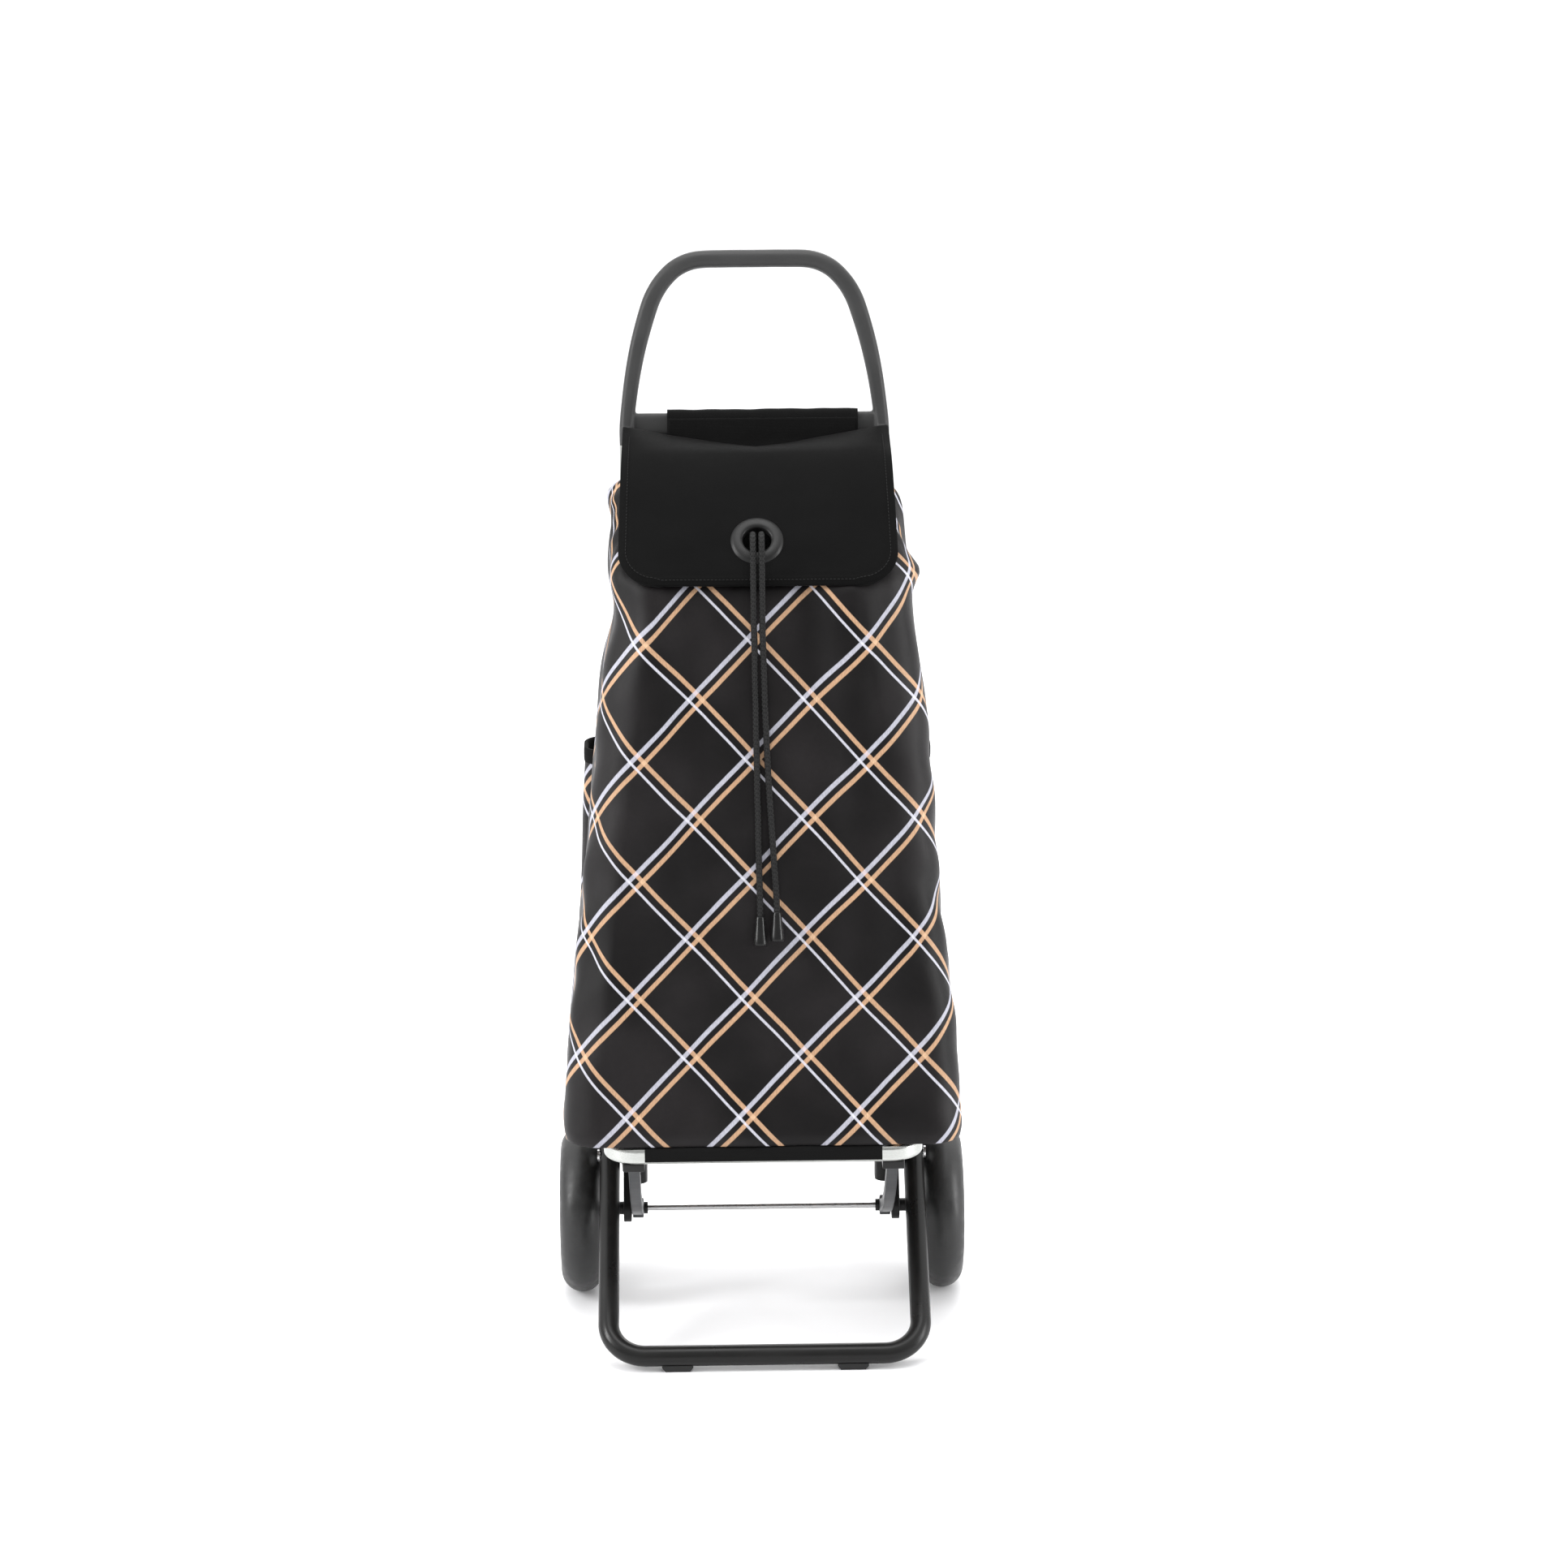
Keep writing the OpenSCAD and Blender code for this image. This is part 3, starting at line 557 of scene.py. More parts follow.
def braided(name, colour, pitch=0.0042):
    """Braided cord: strands that cross, from UVs that run round and along it."""
    s = Shade(name, 0.6, specular=0.2)
    place = s.cloth()
    split = s.node("SeparateXYZ", ((0, place),))
    turn = 2 * math.pi / pitch

    def waves(operation):
        lean = s.math(operation, split.outputs[0], split.outputs[1])
        return s.math("SINE", s.math("MULTIPLY", lean, turn))

    strands = s.math("MAXIMUM", waves("ADD"), waves("SUBTRACT"))
    s.feed("Base Color", s.mix(s.span(strands, -0.3, 1.0), tint(colour, 0.45), tint(colour, 1.6)))
    s.feed("Normal", s.bump(strands, 0.00035, 0.9))
    return s.material


def board(name, colour):
    """Pressed board with fibres."""
    s = Shade(name, 0.8)
    place = s.place()
    fibres = s.noise(s.stretched(place, (1, 0.1, 1)), 0.002, 5, 0.7)
    s.feed("Base Color", s.mix(fibres, tint(colour, 0.6), tint(colour, 1.5)))
    s.feed("Normal", s.bump(fibres, 0.0001, 0.6))
    return s.material


# each slot's kind of surface, and the rest of what that function takes
SURFACES = {
    "handle_plastic": (plastic, grey(0.033), 0.46, 0.0008, 0.00006),
    "dark_steel": (metal, grey(0.09), 0.35, 0),
    "aluminium": (metal, (0.48, 0.49, 0.47, 1), 0.28, 0),
    "black_plastic": (plastic, grey(0.012), 0.38),
    "bright_steel": (metal, grey(0.62), 0.26, 0),
    "tyre_rubber": (rubber, grey(0.014), 0.42, True),
    "rim_plastic": (plastic, grey(0.035), 0.42),
    "nylon": (plastic, (0.62, 0.60, 0.54, 1), 0.4),
    "board": (board, (0.11, 0.095, 0.075, 1)),
    "stay_grey": (paint, (0.046, 0.048, 0.051, 1), 0.42),
    "black_paint": (paint, grey(0.006), 0.3),
    "pad_rubber": (rubber, grey(0.012), 0.6),
    "bag_fabric": (striped,),
    "lining": (fabric, grey(0.045), 0.001, 0.8),
    "black_fabric": (fabric, grey(0.008), 0.0011, 0.8),
    "flap_fabric": (fabric, grey(0.0042), 0.0007, 0.6, 0.01, 0.00007, 0.15),
    "ring_plastic": (plastic, grey(0.009), 0.42),
    "cord": (braided, grey(0.007)),
    "tip_plastic": (plastic, grey(0.006), 0.25, 0.0006, 0.00002),
    "thread": (fabric, grey(0.02), 0.0005, 0.6),
}
FINISH = {name: kind(name, *rest) for name, (kind, *rest) in SURFACES.items()}

for entry in frame["record"]["subparts"]:
    node = frame["nodes"][entry["node"]]
    node.data.materials.clear()
    node.data.materials.append(FINISH[entry["material_slot"]])


def finish(obj, slot, *more):
    """Gives a piece its material, its slot and any further materials for other faces."""
    obj.data.materials.clear()
    for name in (slot, *more):
        obj.data.materials.append(FINISH[name])
    return obj


# ---------- how the soft pieces ride on their bodies ---


def folds(obj, body="frame"):
    """The piece rides on a body, with a mesh of its own."""
    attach(obj, body)
    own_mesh(obj)
    return obj


# ---------- drawstring ends ----------

CORD_D = 0.006
CORD_LEFT = [
    (-4, -72.6, 766.4), (-4, -80, 773), (-4, -86, 778.4), (-4, -93.5, 785), (-4, -101, 787),
    (-4, -108.5, 783.5), (-4, -114, 775), (-4, -118, 763), (-4, -121, 750), (-4, -123, 736),
    (-4, -125, 722), (-4, -127, 706), (-3.5, -131, 680), (-3.5, -135, 655), (-3, -139.5, 630),
    (-3, -145, 605), (-2.5, -149, 580), (-2.5, -153.5, 555), (-2, -158, 530), (-2, -162.5, 505),
    (-1.5, -167, 480), (-1, -172, 455), (-1, -177.4, 434),
]
CORD_RIGHT = [
    (4, -72.6, 766.4), (4, -80, 773), (4, -86, 778.4), (4, -93.5, 785), (4, -101, 787),
    (4, -108.5, 783.5), (4, -114, 775), (4, -118, 763), (4, -121, 750), (4, -123, 736),
    (4, -125, 722), (4, -127, 706), (4.5, -131, 680), (5, -135, 655), (5.5, -139.5, 630),
    (6.5, -145, 605), (7.5, -149, 580), (8.5, -153.5, 555), (10, -158, 530), (11.5, -162.5, 505),
    (13, -167, 480), (14.5, -172, 455), (15, -176.8, 438),
]
TIP_LEAN = math.radians(180 - 17)
TIP_PROFILE = [(0, -1.5), (3.4, -1.5), (4.1, -0.6), (4.4, 1.5), (4.7, 5), (5.2, 10), (5.9, 15.5),
               (6.4, 20), (6.5, 23.5), (6.1, 25.4), (5.2, 26), (3.6, 25.6), (3.1, 23), (0, 22)]


def make_cord(side, route):
    path = smooth_line([at(*p) for p in route], 6)
    ring = circle(CORD_D / 2, 16)
    cord = sweep("drawstring_" + side, path, lambda i: ring, axes=crosswise_axes)
    finish(cord, "cord")
    place = Matrix.Translation(path[-1]) @ Matrix.Rotation(TIP_LEAN, 4, "X")
    tip = lathe("drawstring_tip_" + side, np.array(TIP_PROFILE) * MM, place, 48, 3)
    finish(tip, "tip_plastic")
    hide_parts("cord_" + side)
    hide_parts("cord_tip_" + side)
    folds(cord)
    folds(tip)


make_cord("left", CORD_LEFT)
make_cord("right", CORD_RIGHT)


# ---------- bag ----------

# [front z, back z, half width, front y, back y, corner radius] from the base to the mouth
BAG = [
    (222.4, 222, 183, -208, 6, 30), (221.3, 222.4, 186, -213.5, 7.5, 31),
    (219.5, 223.5, 187.5, -215.5, 9, 32), (226, 227, 188.5, -216.5, 10, 33), (238, 238, 189, -215.5, 12, 34),
    (300, 300, 187.5, -200, 16, 36), (400, 400, 178.5, -179, 21, 38), (500, 500, 168.5, -160, 26, 40),
    (600, 600, 158, -141.5, 31, 42), (680, 700, 146, -124.5, 35, 44), (722, 786, 141, -115.5, 38, 44),
    (740, 818, 136, -109, 39, 42), (753, 830, 126, -91, 35, 40), (763, 836, 108, -72.5, 29.5, 36),
]
POCKET = [
    (246, 246, 178, 14.4, 62, 18), (252, 252, 180.5, 14.6, 68, 19), (264, 264, 181.5, 15.2, 74, 20),
    (400, 400, 176.5, 22.3, 84, 20), (528, 528, 171, 29.2, 90.5, 18), (543, 543, 169.5, 29.9, 91, 18),
]
BAG_ROWS, BAG_COUNTS = 170, (150, 56, 22)           # counts: across the front, along a side, in a corner
POCKET_ROWS, POCKET_COUNTS = 84, (110, 22, 12)
BASE_RINGS = 5
BASE_MIDDLE_UV = (0, -0.09)


def outline(half, front, back, corner, counts):
    """Closed outline from the middle of the back, by the left side and the front; with outward normals."""
    n_flat, n_side, n_corner = counts
    points, normals = [], []

    def straight(a, b, n, out):
        for t in np.arange(n) / n:
            points.append((a[0] + (b[0] - a[0]) * t, a[1] + (b[1] - a[1]) * t))
            normals.append(out)

    def arc(centre, start, n):
        for t in np.arange(n) / n:
            turn = start + math.pi / 2 * t
            out = (math.cos(turn), math.sin(turn))
            points.append((centre[0] + corner * out[0], centre[1] + corner * out[1]))
            normals.append(out)

    x = half - corner
    straight((0, back), (-x, back), n_flat // 2, (0, 1))
    arc((-x, back - corner), math.pi / 2, n_corner)
    straight((-half, back - corner), (-half, front + corner), n_side, (-1, 0))
    arc((-x, front + corner), math.pi, n_corner)
    straight((-x, front), (x, front), n_flat, (0, -1))
    arc((x, front + corner), 1.5 * math.pi, n_corner)
    straight((half, front + corner), (half, back - corner), n_side, (1, 0))
    arc((x, back - corner), 0, n_corner)
    straight((x, back), (0, back), n_flat // 2, (0, 1))
    return np.array(points), np.array(normals)


def bag_surface(table, rows, counts, seam_in_front=False):
    """Points, outward normals and metric UVs of a bag through the table's rings, in metres.

    The rings start and end at the middle of the back, or of the front."""
    dense = evened(smooth_line(table, 8), rows, [0, 3])
    all_points, all_normals, across = [], [], []
    for zf, zb, half, front, back, corner in dense:
        flat, out = outline(half, front, back, corner, counts)
        if seam_in_front:
            flat, out = np.roll(flat, len(flat) // 2, axis=0), np.roll(out, len(out) // 2, axis=0)
        z = zf + (zb - zf) * (flat[:, 1] - front) / (back - front)
        all_points.append(np.stack([flat[:, 0] * MM, flat[:, 1] * MM + AXLE_Y, z * MM], axis=1))
        all_normals.append(np.stack([out[:, 0], out[:, 1], np.zeros(len(out))], axis=1))
        way = run_of(np.concatenate([flat, flat[:1]])) * MM
        across.append(way - way[-1] / 2)
    points, normals, across = np.array(all_points), np.array(all_normals), np.array(across)
    rise = np.linalg.norm(np.diff(points, axis=0), axis=2)
    along = np.concatenate([np.zeros((1, rise.shape[1])), np.cumsum(rise, axis=0)])
    along = np.concatenate([along, along[:, :1]], axis=1)
    return points, normals, np.stack([across, along], axis=2)


def around(uv):
    """Each point's turn round the bag from its seam, and its share of the bag's height."""
    return 2 * math.pi * (uv[:, :-1, 0] / (2 * uv[:, -1:, 0])), uv[:, :-1, 1] / uv[-1, :-1, 1]


def close_base(points, uv):
    """Rows that close the bottom, from its middle out to the first row."""
    middle, uv_middle = points[0].mean(axis=0), np.array(BASE_MIDDLE_UV)
    shares = np.linspace(0.02, 1, BASE_RINGS + 1)[:-1]
    base = np.array([middle + (points[0] - middle) * s for s in shares])
    base_uv = np.array([uv_middle + (uv[0] - uv_middle) * s for s in shares])
    return np.concatenate([base, points]), np.concatenate([base_uv, uv])


TAPE_HALF = 0.0045
TAPE_CROWN = 0.0009
TAPE_GAP = 0.0004
TAPE_SHORT = 6     # rows that it stays clear of the bag's ends


def make_back_seam(points, normals):
    """Tape sewn over the seam down the middle of the bag's back."""
    line = (points + TAPE_GAP * normals)[TAPE_SHORT:-TAPE_SHORT, 0]
    share = np.linspace(-1, 1, 7)
    tape = np.repeat(line[:, None, :], len(share), axis=1)
    tape[:, :, 0] += TAPE_HALF * share
    tape[:, :, 1] += TAPE_CROWN * (1 - share ** 4)
    uv = tape[:, :, [0, 2]]
    seam = grid("back_seam", tape, uv)
    finish(seam, "black_fabric")
    thicken(seam, 0.0007, 0.0)
    folds(seam)


def gathers(turn, height):
    """Gathers run down from the drawn mouth and die out."""
    gather = (0.5 * np.cos(23 * turn + 1.3 + 0.8 * np.sin(3 * turn)) + 0.35 * np.cos(37 * turn + 4.1)
              + 0.3 * np.cos(14 * turn + 0.4))
    return 0.0042 * gather * ramp(height, 0.86, 1.0) ** 1.5


def long_folds(turn, height, sideways):
    """Longer folds hang below the gathers, deepest at the sides."""
    fold = 0.6 * np.cos(9 * turn + 0.7) + 0.5 * np.cos(14 * turn + 2.0 + 2.5 * height)
    return 0.0026 * fold * ramp(height, 0.45, 0.9) * (0.35 + 0.65 * sideways)


def front_hang(u, z, height, facing):
    """The front hangs hollow behind the cords and fuller to each side, in broad folds."""
    hollow = 0.0042 * bump_at(u, -0.018, 0.030) + 0.0022 * bump_at(u, 0.030, 0.022)
    full = 0.0022 * bump_at(u, -0.085, 0.035) + 0.0022 * bump_at(u, 0.088, 0.040)
    fold = np.cos(2 * math.pi * (u + 0.015 * np.sin(9 * z)) / 0.105 + 0.9)
    fold += 0.4 * np.cos(2 * math.pi * u / 0.061 + 5 * z) + 0.5 * np.cos(2 * math.pi * (u - 0.3 * z) / 0.19)
    return facing * (ramp(height, 0.1, 0.6) * (full - hollow) + 0.0024 * fold * ramp(height, 0.03, 0.25))


def slack_sides(deep, z, height, sideways):
    """Slack sides fall in between the base and the top, with creases that droop to the corners."""
    droop = np.cos((z - 1.1 * np.abs(deep + 0.09)) * 2 * math.pi / 0.085)
    return sideways * (0.0016 * droop * bump_at(height, 0.4, 0.3) - 0.0055 * bump_at(height, 0.45, 0.3))


def pleats(deep, z, to_left, to_right):
    """The contents lean to the right; a pleat stands up at the left and juts out lower at the right."""
    right = 0.0070 * bump_at(z, 0.60, 0.16) + 0.0100 * bump_at(deep, -0.050, 0.030) * bump_at(z, 0.742, 0.014)
    left = 0.0140 * bump_at(deep, 0.010, 0.024) * bump_at(z, 0.815, 0.026) - 0.0080 * bump_at(z, 0.705, 0.030)
    return to_right * right + to_left * left


def make_bag():
    points, normals, uv = bag_surface(BAG, BAG_ROWS, BAG_COUNTS)
    turn, height = around(uv)
    u, deep, z = uv[:, :-1, 0], points[:, :, 1] - AXLE_Y, points[:, :, 2]
    facing = np.clip(-normals[:, :, 1], 0, 1)
    to_left, to_right = np.clip(-normals[:, :, 0], 0, 1), np.clip(normals[:, :, 0], 0, 1)
    sideways = to_left + to_right
    push = gathers(turn, height) + long_folds(turn, height, sideways)
    push += front_hang(u, z, height, facing) + slack_sides(deep, z, height, sideways)
    push += pleats(deep, z, to_left, to_right)
    push += 0.0018 * wobble(points, 0.11, 1) * ramp(height, 0.02, 0.15) + 0.0006 * wobble(points, 0.035, 2)
    # the base's edge is stuffed out by the board's corners
    push += 0.0012 * bump_at(height, 0.035, 0.03) * (1 + np.cos(11 * turn + 1))
    points = points + normals * push[:, :, None]
    make_back_seam(points, normals)
    points, uv = close_base(points, uv)
    bag = grid("bag", points, uv, closed=True, cap_start=True)
    finish(bag, "bag_fabric", "lining")
    thicken(bag, 0.0018, inside=1)
    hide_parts("bag_shell")
    folds(bag)
    return points[-1]


def make_hem(rim):
    """The turned and stitched edge of the mouth, puckered on the drawstring."""
    path = rim[::2].copy()
    path[:, 2] += 0.0015
    ring = circle(1.0, 14)
    swell = [0.0044 + 0.0007 * math.sin(i * 2.1) + 0.0004 * math.sin(i * 5.3) for i in range(len(path))]
    hem = sweep("mouth_edge", path, lambda i: ring * swell[i], closed=True)
    finish(hem, "black_fabric")
    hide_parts("mouth_hem")
    folds(hem)


make_hem(make_bag())


def make_pocket():
    points, normals, uv = bag_surface(POCKET, POCKET_ROWS, POCKET_COUNTS, seam_in_front=True)
    turn, height = around(uv)
    rear = np.clip(normals[:, :, 1], 0, 1)
    outer = np.clip(rear + np.abs(normals[:, :, 0]), 0, 1)
    push = 0.0028 * rear * np.cos(12 * turn + 0.5) * bump_at(height, 0.55, 0.4)
    push -= 0.0045 * rear * bump_at(height, 0.55, 0.3)
    push += 0.0014 * outer * wobble(points, 0.08, 5)
    push -= 0.0030 * rear * (0.5 + 0.5 * np.cos(26 * turn)) * ramp(height, 0.9, 1.0)
    points = points + normals * push[:, :, None]
    rim = points[-1].copy()
    points, uv = close_base(points, uv)
    pocket = grid("back_pocket", points, uv, closed=True, cap_start=True)
    finish(pocket, "bag_fabric", "lining")
    thicken(pocket, 0.0016, inside=1)
    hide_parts("rear_pocket")
    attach(pocket, "frame")
    section = rounded_box(0.0022, 0.0075, 4, 16)
    path = rim[::2].copy()
    path[:, 2] -= 0.003
    binding = sweep("pocket_edge", path, lambda i: section, closed=True)
    finish(binding, "black_fabric")
    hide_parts("pocket_binding")
    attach(binding, "frame")


make_pocket()


# ---------- lid ----------

LID_HALF_REAR = 127.5
LID_HALF_FRONT = 133.0
LID_MIDDLE = 1.0
LID_CORNER = 38.0
LID_LINE = [(47, 850), (47.5, 858), (45, 864.5), (38, 868), (28, 866), (8, 857.5), (-16, 845.5), (-37, 830),
            (-55, 812.5), (-70, 796), (-86, 778.4), (-102, 760.8), (-118, 743.2)]
LID_DIP = 23.0
LID_ROWS = 130
LID_COLUMNS = 151
LID_SEAM_IN = 7            # from the cut edge to the row of stitches
LID_SEAM_FROM_ROW = 24
LID_HOLE = 0.0168
RING_FROM_FRONT = 47.5
RING_AT = at(0, -86, 778.4)
RING_SLOPE = math.radians(47.7)
RING_PLACE = Matrix.Translation(Vector(RING_AT)) @ Matrix.Rotation(RING_SLOPE, 4, "X")
RING_OUT = 0.025
RING_HOLE = 0.0135


def lid_edge_distance(x, way, length):
    """How far a point of the flat lid is from its cut edge; way runs from the rear to the front."""
    half = LID_HALF_REAR + (LID_HALF_FRONT - LID_HALF_REAR) * way / length
    side, end = half - np.abs(x), length - way
    deep = np.minimum(side, end)
    in_corner = (side < LID_CORNER) & (end < LID_CORNER)
    round_off = LID_CORNER - np.hypot(LID_CORNER - side, LID_CORNER - end)
    return np.where(in_corner, round_off, deep)


def make_lid():
    line = evened(smooth_line(LID_LINE, 10), LID_ROWS)
    way = run_of(line)
    length = way[-1]
    share = np.linspace(-1, 1, LID_COLUMNS)
    heading = np.gradient(line, axis=0)
    heading /= np.linalg.norm(heading, axis=1)[:, None]
    up = np.stack([-heading[:, 1], heading[:, 0]], axis=1)
    up *= np.sign(up[-1, 1])
    full = LID_HALF_REAR + (LID_HALF_FRONT - LID_HALF_REAR) * way / length
    lack = np.clip(LID_CORNER - (length - way), 0, LID_CORNER)
    half = full - LID_CORNER + np.sqrt(LID_CORNER ** 2 - lack ** 2)
    x = half[:, None] * share[None, :]
    far = np.repeat(way[:, None], len(share), axis=1)
    edge = lid_edge_distance(x, far, length)
    points = np.stack([(x + LID_MIDDLE) * MM, np.repeat(line[:, :1], len(share), axis=1) * MM + AXLE_Y,
                       np.repeat(line[:, 1:], len(share), axis=1) * MM], axis=2)
    near_ring = bump_at(np.hypot(x, far - (length - RING_FROM_FRONT)), 0, 32)
    lift = 1.5 * wobble(points, 0.09, 8) + 0.5 * wobble(points, 0.03, 9)
    lift -= 2.6 * bump_at(edge, 0, 7) * ramp(far, 0, 60)
    lift += 0.7 * (ramp(edge, 1, 2.6) - ramp(edge, 7.5, 9.2)) * ramp(far, 30, 50)
    lift += 1.8 * bump_at(np.abs(x), 78, 30) * ramp(far, 30, 90) * ramp(length - far, 10, 60)
    lift *= 1 - near_ring
    points[:, :, 1] += lift * up[:, None, 0] * MM
    points[:, :, 2] += lift * up[:, None, 1] * MM
    dip = LID_DIP * np.clip(1 - np.abs(x / LID_HALF_REAR) ** 1.25, 0, 1) * ramp(75 - far, 0, 62)
    points[:, :, 2] -= dip * MM
    uv = np.stack([x * MM, far * MM], axis=2)
    lid = grid("lid_cloth", points[::-1], uv[::-1])
    cut_hole(lid, RING_AT, LID_HOLE)
    finish(lid, "flap_fabric")
    thicken(lid, 0.0026)
    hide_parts("lid_flap")
    folds(lid, "lid")
    return points, edge


def cut_hole(obj, centre, radius):
    shape = bmesh.new()
    shape.from_mesh(obj.data)
    middle = Vector(centre)
    inside = [f for f in shape.faces if (f.calc_center_median() - middle).length < radius]
    bmesh.ops.delete(shape, geom=inside, context="FACES")
    shape.to_mesh(obj.data)
    shape.free()


STITCH_PITCH = 0.0036
STITCH_LENGTH = 0.0026
STITCH_RADIUS = 0.00042
STITCH_SIDES = 6
STITCH_ARCH = np.array([-0.4, 0.45, 0.7, 0.45, -0.4])     # height above the cloth, in radii
STITCH_THICK = np.array([0.55, 0.95, 1.0, 0.95, 0.55])    # and thickness, ring by ring


def stitches(name, line, ups):
    """Short raised threads along a line of points in metres, in even steps."""
    way = run_of(line)
    rings, sides = len(STITCH_ARCH), STITCH_SIDES
    verts, faces = [], []
    for start in np.arange(STITCH_PITCH, way[-1] - STITCH_PITCH, STITCH_PITCH):
        marks = start + np.linspace(0, 1, rings) * STITCH_LENGTH
        centre = np.stack([np.interp(marks, way, line[:, k]) for k in range(3)], axis=1)
        out = np.stack([np.interp(marks, way, ups[:, k]) for k in range(3)], axis=1)
        ahead = centre[-1] - centre[0]
        ahead /= np.linalg.norm(ahead)
        first = len(verts)
        for k in range(rings):
            u = out[k] / np.linalg.norm(out[k])
            v = np.cross(ahead, u)
            arch, thick = STITCH_ARCH[k] * STITCH_RADIUS, STITCH_THICK[k] * STITCH_RADIUS
            for turn in np.arange(sides) * 2 * math.pi / sides:
                verts.append(centre[k] + u * (arch + thick * math.sin(turn)) + v * thick * math.cos(turn))
        for k in range(rings - 1):
            for i in range(sides):
                a, b = first + sides * k + i, first + sides * k + (i + 1) % sides
                faces.append((a, b, b + sides, a + sides))
        last = first + sides * (rings - 1)
        faces.append(tuple(first + i for i in reversed(range(sides))))
        faces.append(tuple(last + i for i in range(sides)))
    uvs = [(0.0005 * (i % 4), 0.0005 * (i // 4)) for i in range(sum(len(f) for f in faces))]
    obj = new_object(name, verts, faces, uvs)
    obj.data.materials.append(FINISH["thread"])
    return obj


def make_lid_stitches(points, edge):
    """A seam inside the lid's cut edge: down one side, round the front and up the other."""
    rows, cols = edge.shape
    line, ups = [], []

    def crossing(j, sides):
        for i in sides:
            a, b = edge[j, i] - LID_SEAM_IN, edge[j, i + 1] - LID_SEAM_IN
            if a * b <= 0 and a != b:
                t = a / (a - b)
                return points[j, i] * (1 - t) + points[j, i + 1] * t, j, i
        return None

    def down(sides):
        found = [crossing(j, sides) for j in range(LID_SEAM_FROM_ROW, rows)]
        return [c for c in found if c]

    left, right = down(range(cols // 2)), down(range(cols // 2, cols - 1))
    front_row = min(left[-1][1] + 1, rows - 1)
    front = [(points[front_row, i], front_row, i) for i in range(left[-1][2] + 2, right[-1][2] - 1)]
    for point, j, i in left + front + right[::-1]:
        a = points[min(j + 1, rows - 1), i] - points[max(j - 1, 0), i]
        b = points[j, min(i + 1, cols - 1)] - points[j, max(i - 1, 0)]
        out = np.cross(b, a)
        out /= np.linalg.norm(out)
        out = out if out[2] > 0 or out[1] < 0 else -out
        line.append(point)
        ups.append(out)
    seam = stitches("lid_seam", np.array(line), np.array(ups))
    folds(seam, "lid")


make_lid_stitches(*make_lid())


def make_ring():
    hole, out = RING_HOLE, RING_OUT
    dome = [(hole, -0.0028), (hole, 0.0012), (hole + 0.0008, 0.0026), (hole + 0.0028, 0.0034),
            (hole + 0.0058, 0.0033), (hole + 0.0088, 0.0025), (out - 0.0008, 0.0011), (out, 0.0002),
            (out - 0.0006, -0.0001), (hole + 0.0025, -0.0001), (hole + 0.0013, -0.0028), (hole, -0.0028)]
    front = lathe("cord_ring_front", dome, RING_PLACE, 128, 4)
    finish(front, "ring_plastic")
    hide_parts("ring_front")
    folds(front, "lid")
    plate = [(hole + 0.0002, -0.0046), (hole + 0.0002, -0.0031), (out - 0.003, -0.0031),
             (out - 0.003, -0.0040), (out - 0.0036, -0.0046), (hole + 0.0002, -0.0046)]
    back = lathe("cord_ring_back", plate, RING_PLACE, 96)
    finish(back, "ring_plastic")
    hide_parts("ring_back")
    folds(back, "lid")


make_ring()


# ---------- handle ----------

HANDLE_LEAN = math.radians(6.5)
HANDLE_UP = np.array([0, math.sin(HANDLE_LEAN), math.cos(HANDLE_LEAN)])
HANDLE_FRONT = np.array([0, -math.cos(HANDLE_LEAN), math.sin(HANDLE_LEAN)])
FOOT_HEIGHT = 846
HANDLE_FOOT = at(0, 61, FOOT_HEIGHT)
ARCH = [(0, 1024.3), (28, 1024.3), (55, 1023.3), (73, 1016.6), (86, 1005), (95.5, 991), (102, 975),
        (111, 944), (117.5, 913), (122, 882), (124, 862), (124, 847)]
CROSSBAR_AT = 865.0
CROSSBAR_HALF = (11.0, 7.0)
CROSSBAR_REACH = 118
ARM = 124                  # from the middle to each arm of the arch


def handle_plane(x, height):
    """A point of the handle's leaning plane."""
    return HANDLE_FOOT + np.array([x * MM, 0, 0]) + HANDLE_UP * (height - FOOT_HEIGHT) * MM


def handle_section(half_in_plane, half_deep, power):
    """Offsets in the handle's plane, square to the path, and towards the front."""
    return rounded_box(half_in_plane * MM, half_deep * MM, power, 48)


def handle_axes(ahead):
    u = np.cross(HANDLE_FRONT, ahead)
    return u / np.linalg.norm(u), HANDLE_FRONT


def make_handle():
    whole = [(-x, h) for x, h in reversed(ARCH[1:])] + ARCH
    path2d = evened(smooth_line(whole, 8), 220)
    path = np.array([handle_plane(x, h) for x, h in path2d])
    height = path2d[:, 1]
    foot = ramp(-height, -885, -850)
    upper = ramp(height, 960, 1010)

    def arch_section(i):
        inward = 8.6 + (7.0 - 8.6) * ramp(-height[i], -1000, -850)
        deep = 9.0 + 3.3 * foot[i]
        return handle_section(inward, deep, 3.0 - 0.6 * upper[i])

    arch = sweep("arch", path, arch_section, axes=handle_axes)
    along = np.linspace(-CROSSBAR_REACH, CROSSBAR_REACH, 60)
    bar_path = np.array([handle_plane(x, CROSSBAR_AT) for x in along])
    bar = sweep("bar", bar_path, lambda i: handle_section(*CROSSBAR_HALF, 4.5), axes=handle_axes)
    parts = [arch, bar]
    for side in (-1, 1):
        x = side * ARM
        foot_path = np.array([at(x, 60.6, 838), at(x, 61.0, FOOT_HEIGHT), at(x, 61.9, 862)])
        parts.append(sweep("socket", foot_path, lambda i: handle_section(6.9, 12.3, 2.6), axes=handle_axes))
    handle = join("handle_moulding", parts)
    soften(handle, 0.0011, 8)
    finish(handle, "handle_plastic")
    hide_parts("handle")
    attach(handle, "frame")


make_handle()


# ---------- sleeve and yoke ----------

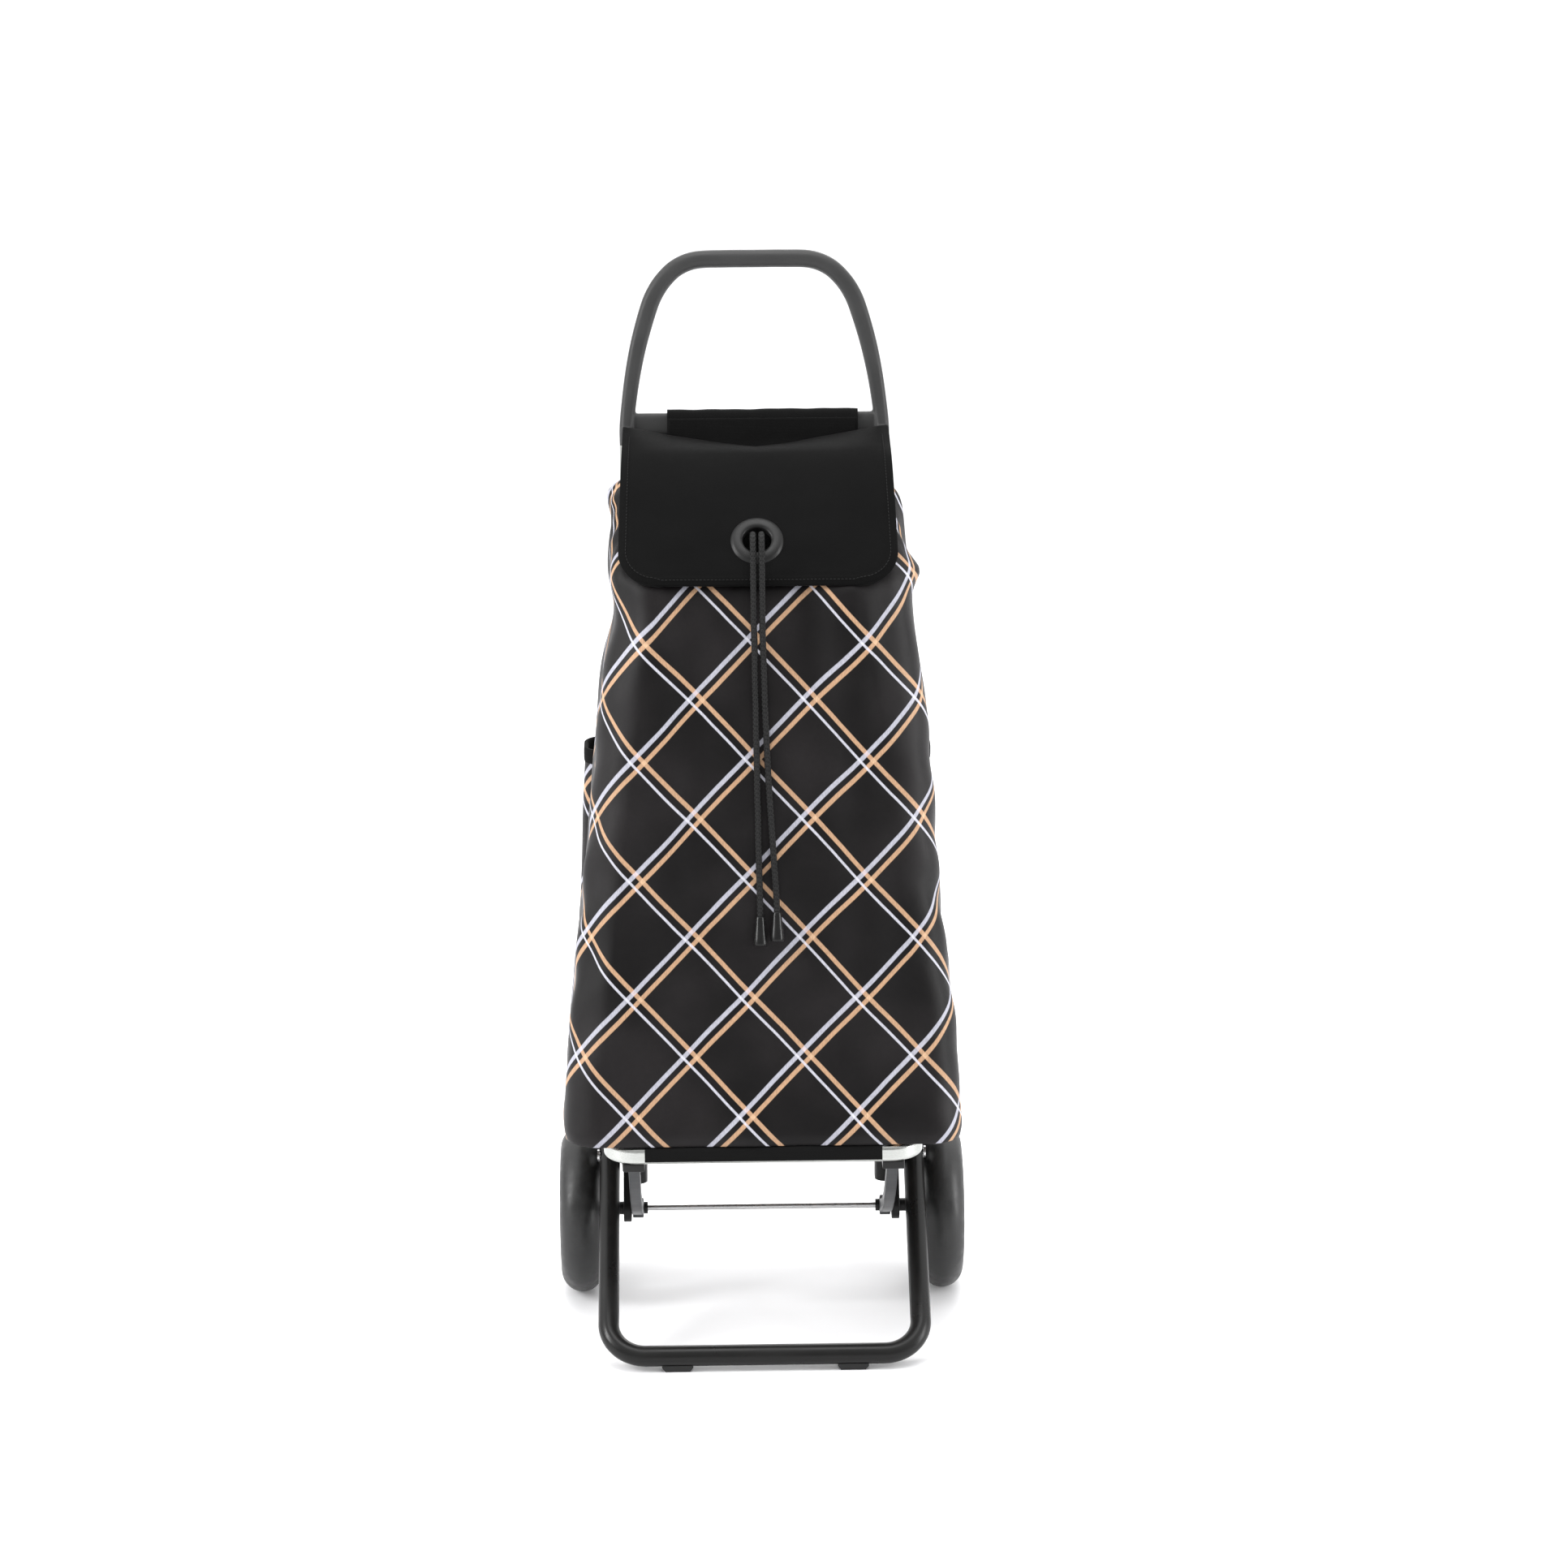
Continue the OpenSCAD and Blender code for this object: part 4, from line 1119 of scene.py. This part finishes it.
SLEEVE_HALF = 92.5
SLEEVE_MIDDLE = 8.0


def make_sleeve():
    """The fabric loop round the crossbar, a little slack."""
    xs = np.linspace(-SLEEVE_HALF, SLEEVE_HALF, 120)
    path = np.array([handle_plane(x + SLEEVE_MIDDLE, CROSSBAR_AT + 0.6) for x in xs])
    base = handle_section(CROSSBAR_HALF[0] + 2.6, CROSSBAR_HALF[1] + 2.2, 5.0)
    rows = []
    for i, x in enumerate(xs):
        slack = 0.5 * math.sin(x / 9.0) + 0.35 * math.sin(x / 4.3 + 1) + 0.4 * math.sin(x / 23.0)
        rows.append(base * (1 + 0.03 * slack))
    sleeve = sweep("crossbar_sleeve", path, lambda i: rows[i], caps=False, axes=handle_axes)
    finish(sleeve, "black_fabric")
    thicken(sleeve, 0.0014)
    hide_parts("hanging_sleeve")
    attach(sleeve, "frame")


make_sleeve()


YOKE_LINE = [(53.5, 872), (53, 862), (52, 850), (49.5, 841), (46, 833), (43, 824), (41.5, 812)]
YOKE_HALF = 91.5
YOKE_FLARE = 22


def make_yoke():
    """The panel that hangs from the sleeve and carries the bag's back edge and the lid."""
    line = evened(smooth_line(YOKE_LINE, 6), 40)
    share = np.linspace(-1, 1, 90)
    top, bottom = YOKE_LINE[0][1], YOKE_LINE[-1][1]
    down = (top - line[:, 1]) / (top - bottom)
    half = YOKE_HALF + YOKE_FLARE * ramp(down, 0.35, 1.0)
    x = half[:, None] * share[None, :]
    y = line[:, :1] + 1.6 * np.cos(x / 11.0 + 0.6) * ramp(down, 0.3, 1.0)[:, None]
    z = np.repeat(line[:, 1:], len(share), axis=1)
    aside = SLEEVE_MIDDLE * (1 - ramp(down, 0.1, 0.8))
    points = np.stack([(x + aside[:, None]) * MM, y * MM + AXLE_Y, z * MM], axis=2)
    way = run_of(line)
    uv = np.stack([x * MM, np.repeat(way[:, None], len(share), axis=1) * MM], axis=2)
    yoke = grid("yoke_panel", points, uv)
    finish(yoke, "black_fabric")
    thicken(yoke, 0.0012, 0.0)
    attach(yoke, "frame")


make_yoke()


# ---------- wheels ----------

def wheel_place(node, side):
    """A wheel's middle, with its own Z along the axle and outwards."""
    low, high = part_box(node)
    middle = (low + high) / 2
    facing = Matrix.Rotation(math.radians(90 if side > 0 else -90), 4, "Y")
    return Matrix.Translation(middle) @ facing


RIM_BAND = [(41.5, -12), (42.5, -13), (45.5, -13.2), (46.2, -12), (46.0, 12), (45.5, 13.2),
            (42.5, 13), (41.5, 12), (41.2, 0), (41.5, -12)]
RIM_HUB = [(9.1, -14.3), (11.5, -14.3), (12.7, -13.2), (13.6, -4), (13.6, 4), (12.9, 11.4),
           (11.9, 12.3), (9.1, 12.3), (9.1, -14.3)]
SPOKES = 6


def make_rim(side, name):
    """Moulded rim: a dished band, a hub and spokes that widen at both ends."""
    place = wheel_place("tyre_" + name, side)
    parts = [lathe("band", np.array(RIM_BAND) * MM, Matrix.Identity(4), 128),
             lathe("hub", np.array(RIM_HUB) * MM, Matrix.Identity(4), 96)]
    for k in range(SPOKES):
        angle = 2 * math.pi * (k + 0.5) / SPOKES
        reach = np.linspace(11.5, 42.5, 14) * MM
        path = np.array([[r * math.cos(angle), r * math.sin(angle), 0] for r in reach])
        waist = [1 + 0.5 * ((r / MM - 27) / 15) ** 2 for r in reach]
        parts.append(sweep("spoke", path, lambda i: rounded_box(0.0030 * waist[i], 0.0066, 4, 24)))
    rim = join("wheel_rim_" + name, parts)
    rim.data.transform(place)
    soften(rim, 0.0008, 4)
    finish(rim, "rim_plastic")
    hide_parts("rim_" + name)
    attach(rim, "wheel_" + name)


make_rim(-1, "left")
make_rim(1, "right")


# ---------- mouldings with rounded edges ----------

def make_moulding(name, nodes, slot, body, voxel=0.0009, passes=5):
    piece = mould(name, nodes, voxel, passes)
    finish(piece, slot)
    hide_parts(*nodes)
    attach(piece, body)


for which in ("left", "right"):
    make_moulding("side_knuckle_" + which, ["knuckle_" + which], "black_plastic", "frame")
    make_moulding("strut_" + which, ["stay_" + which], "stay_grey", "stay_" + which)
make_moulding("strut_seats", ["stay_seats"], "black_plastic", "platform")
make_moulding("foot_shoes", ["foot_pads"], "pad_rubber", "foot", 0.0007, 3)


# ---------- floor and light ----------

FLOOR_HALF = 40.0


def make_floor():
    corners = [(FLOOR_HALF * x, FLOOR_HALF * y, 0) for x, y in ((-1, -1), (1, -1), (1, 1), (-1, 1))]
    floor = new_object("floor", corners, [(0, 1, 2, 3)])
    s = Shade("floor", 0.55)
    cloud = s.noise(s.place(), 0.6, 3)
    s.feed("Base Color", s.mix(cloud, (0.86, 0.86, 0.87, 1), (0.90, 0.90, 0.91, 1)))
    floor.data.materials.append(s.material)


def area_light(name, place, target, width, height, power):
    data = bpy.data.lights.new(name, "AREA")
    data.shape = "RECTANGLE"
    data.size, data.size_y = width, height
    data.energy = power
    light = bpy.data.objects.new(name, data)
    light.location = place
    light.rotation_euler = (Vector(target) - Vector(place)).to_track_quat("-Z", "Y").to_euler()
    bpy.context.scene.collection.objects.link(light)


def make_light():
    """A sky bright overhead and behind and dim in front, with softboxes at both sides."""
    world = bpy.data.worlds.new("studio")
    bpy.context.scene.world = world
    sky = Nodes(world)
    split = sky.node("SeparateXYZ", ((0, sky.node("TexCoord").outputs["Generated"]),))
    overhead = sky.span(split.outputs["Z"], 0.0, 0.8, 0.92, 1.6)
    behind = sky.span(split.outputs["Y"], -0.9, 0.3, 0.45, 1.1)
    background = sky.tree.nodes["Background"]
    sky.put(background.inputs["Strength"], sky.math("MULTIPLY", overhead, behind))
    sky.put(background.inputs["Color"], (1, 1, 1, 1))
    middle = (0, 0, 0.55)
    area_light("key", (-2.4, -0.75, 1.6), middle, 0.6, 1.6, 60)
    area_light("fill", (2.4, -0.6, 0.9), middle, 0.5, 1.6, 40)
    area_light("top", (0, -0.3, 3.2), middle, 1.8, 1.8, 42)
    area_light("rear", (0.6, 3.0, 2.0), middle, 2.0, 2.0, 30)
    bpy.context.scene.view_settings.view_transform = "Standard"


make_floor()
make_light()
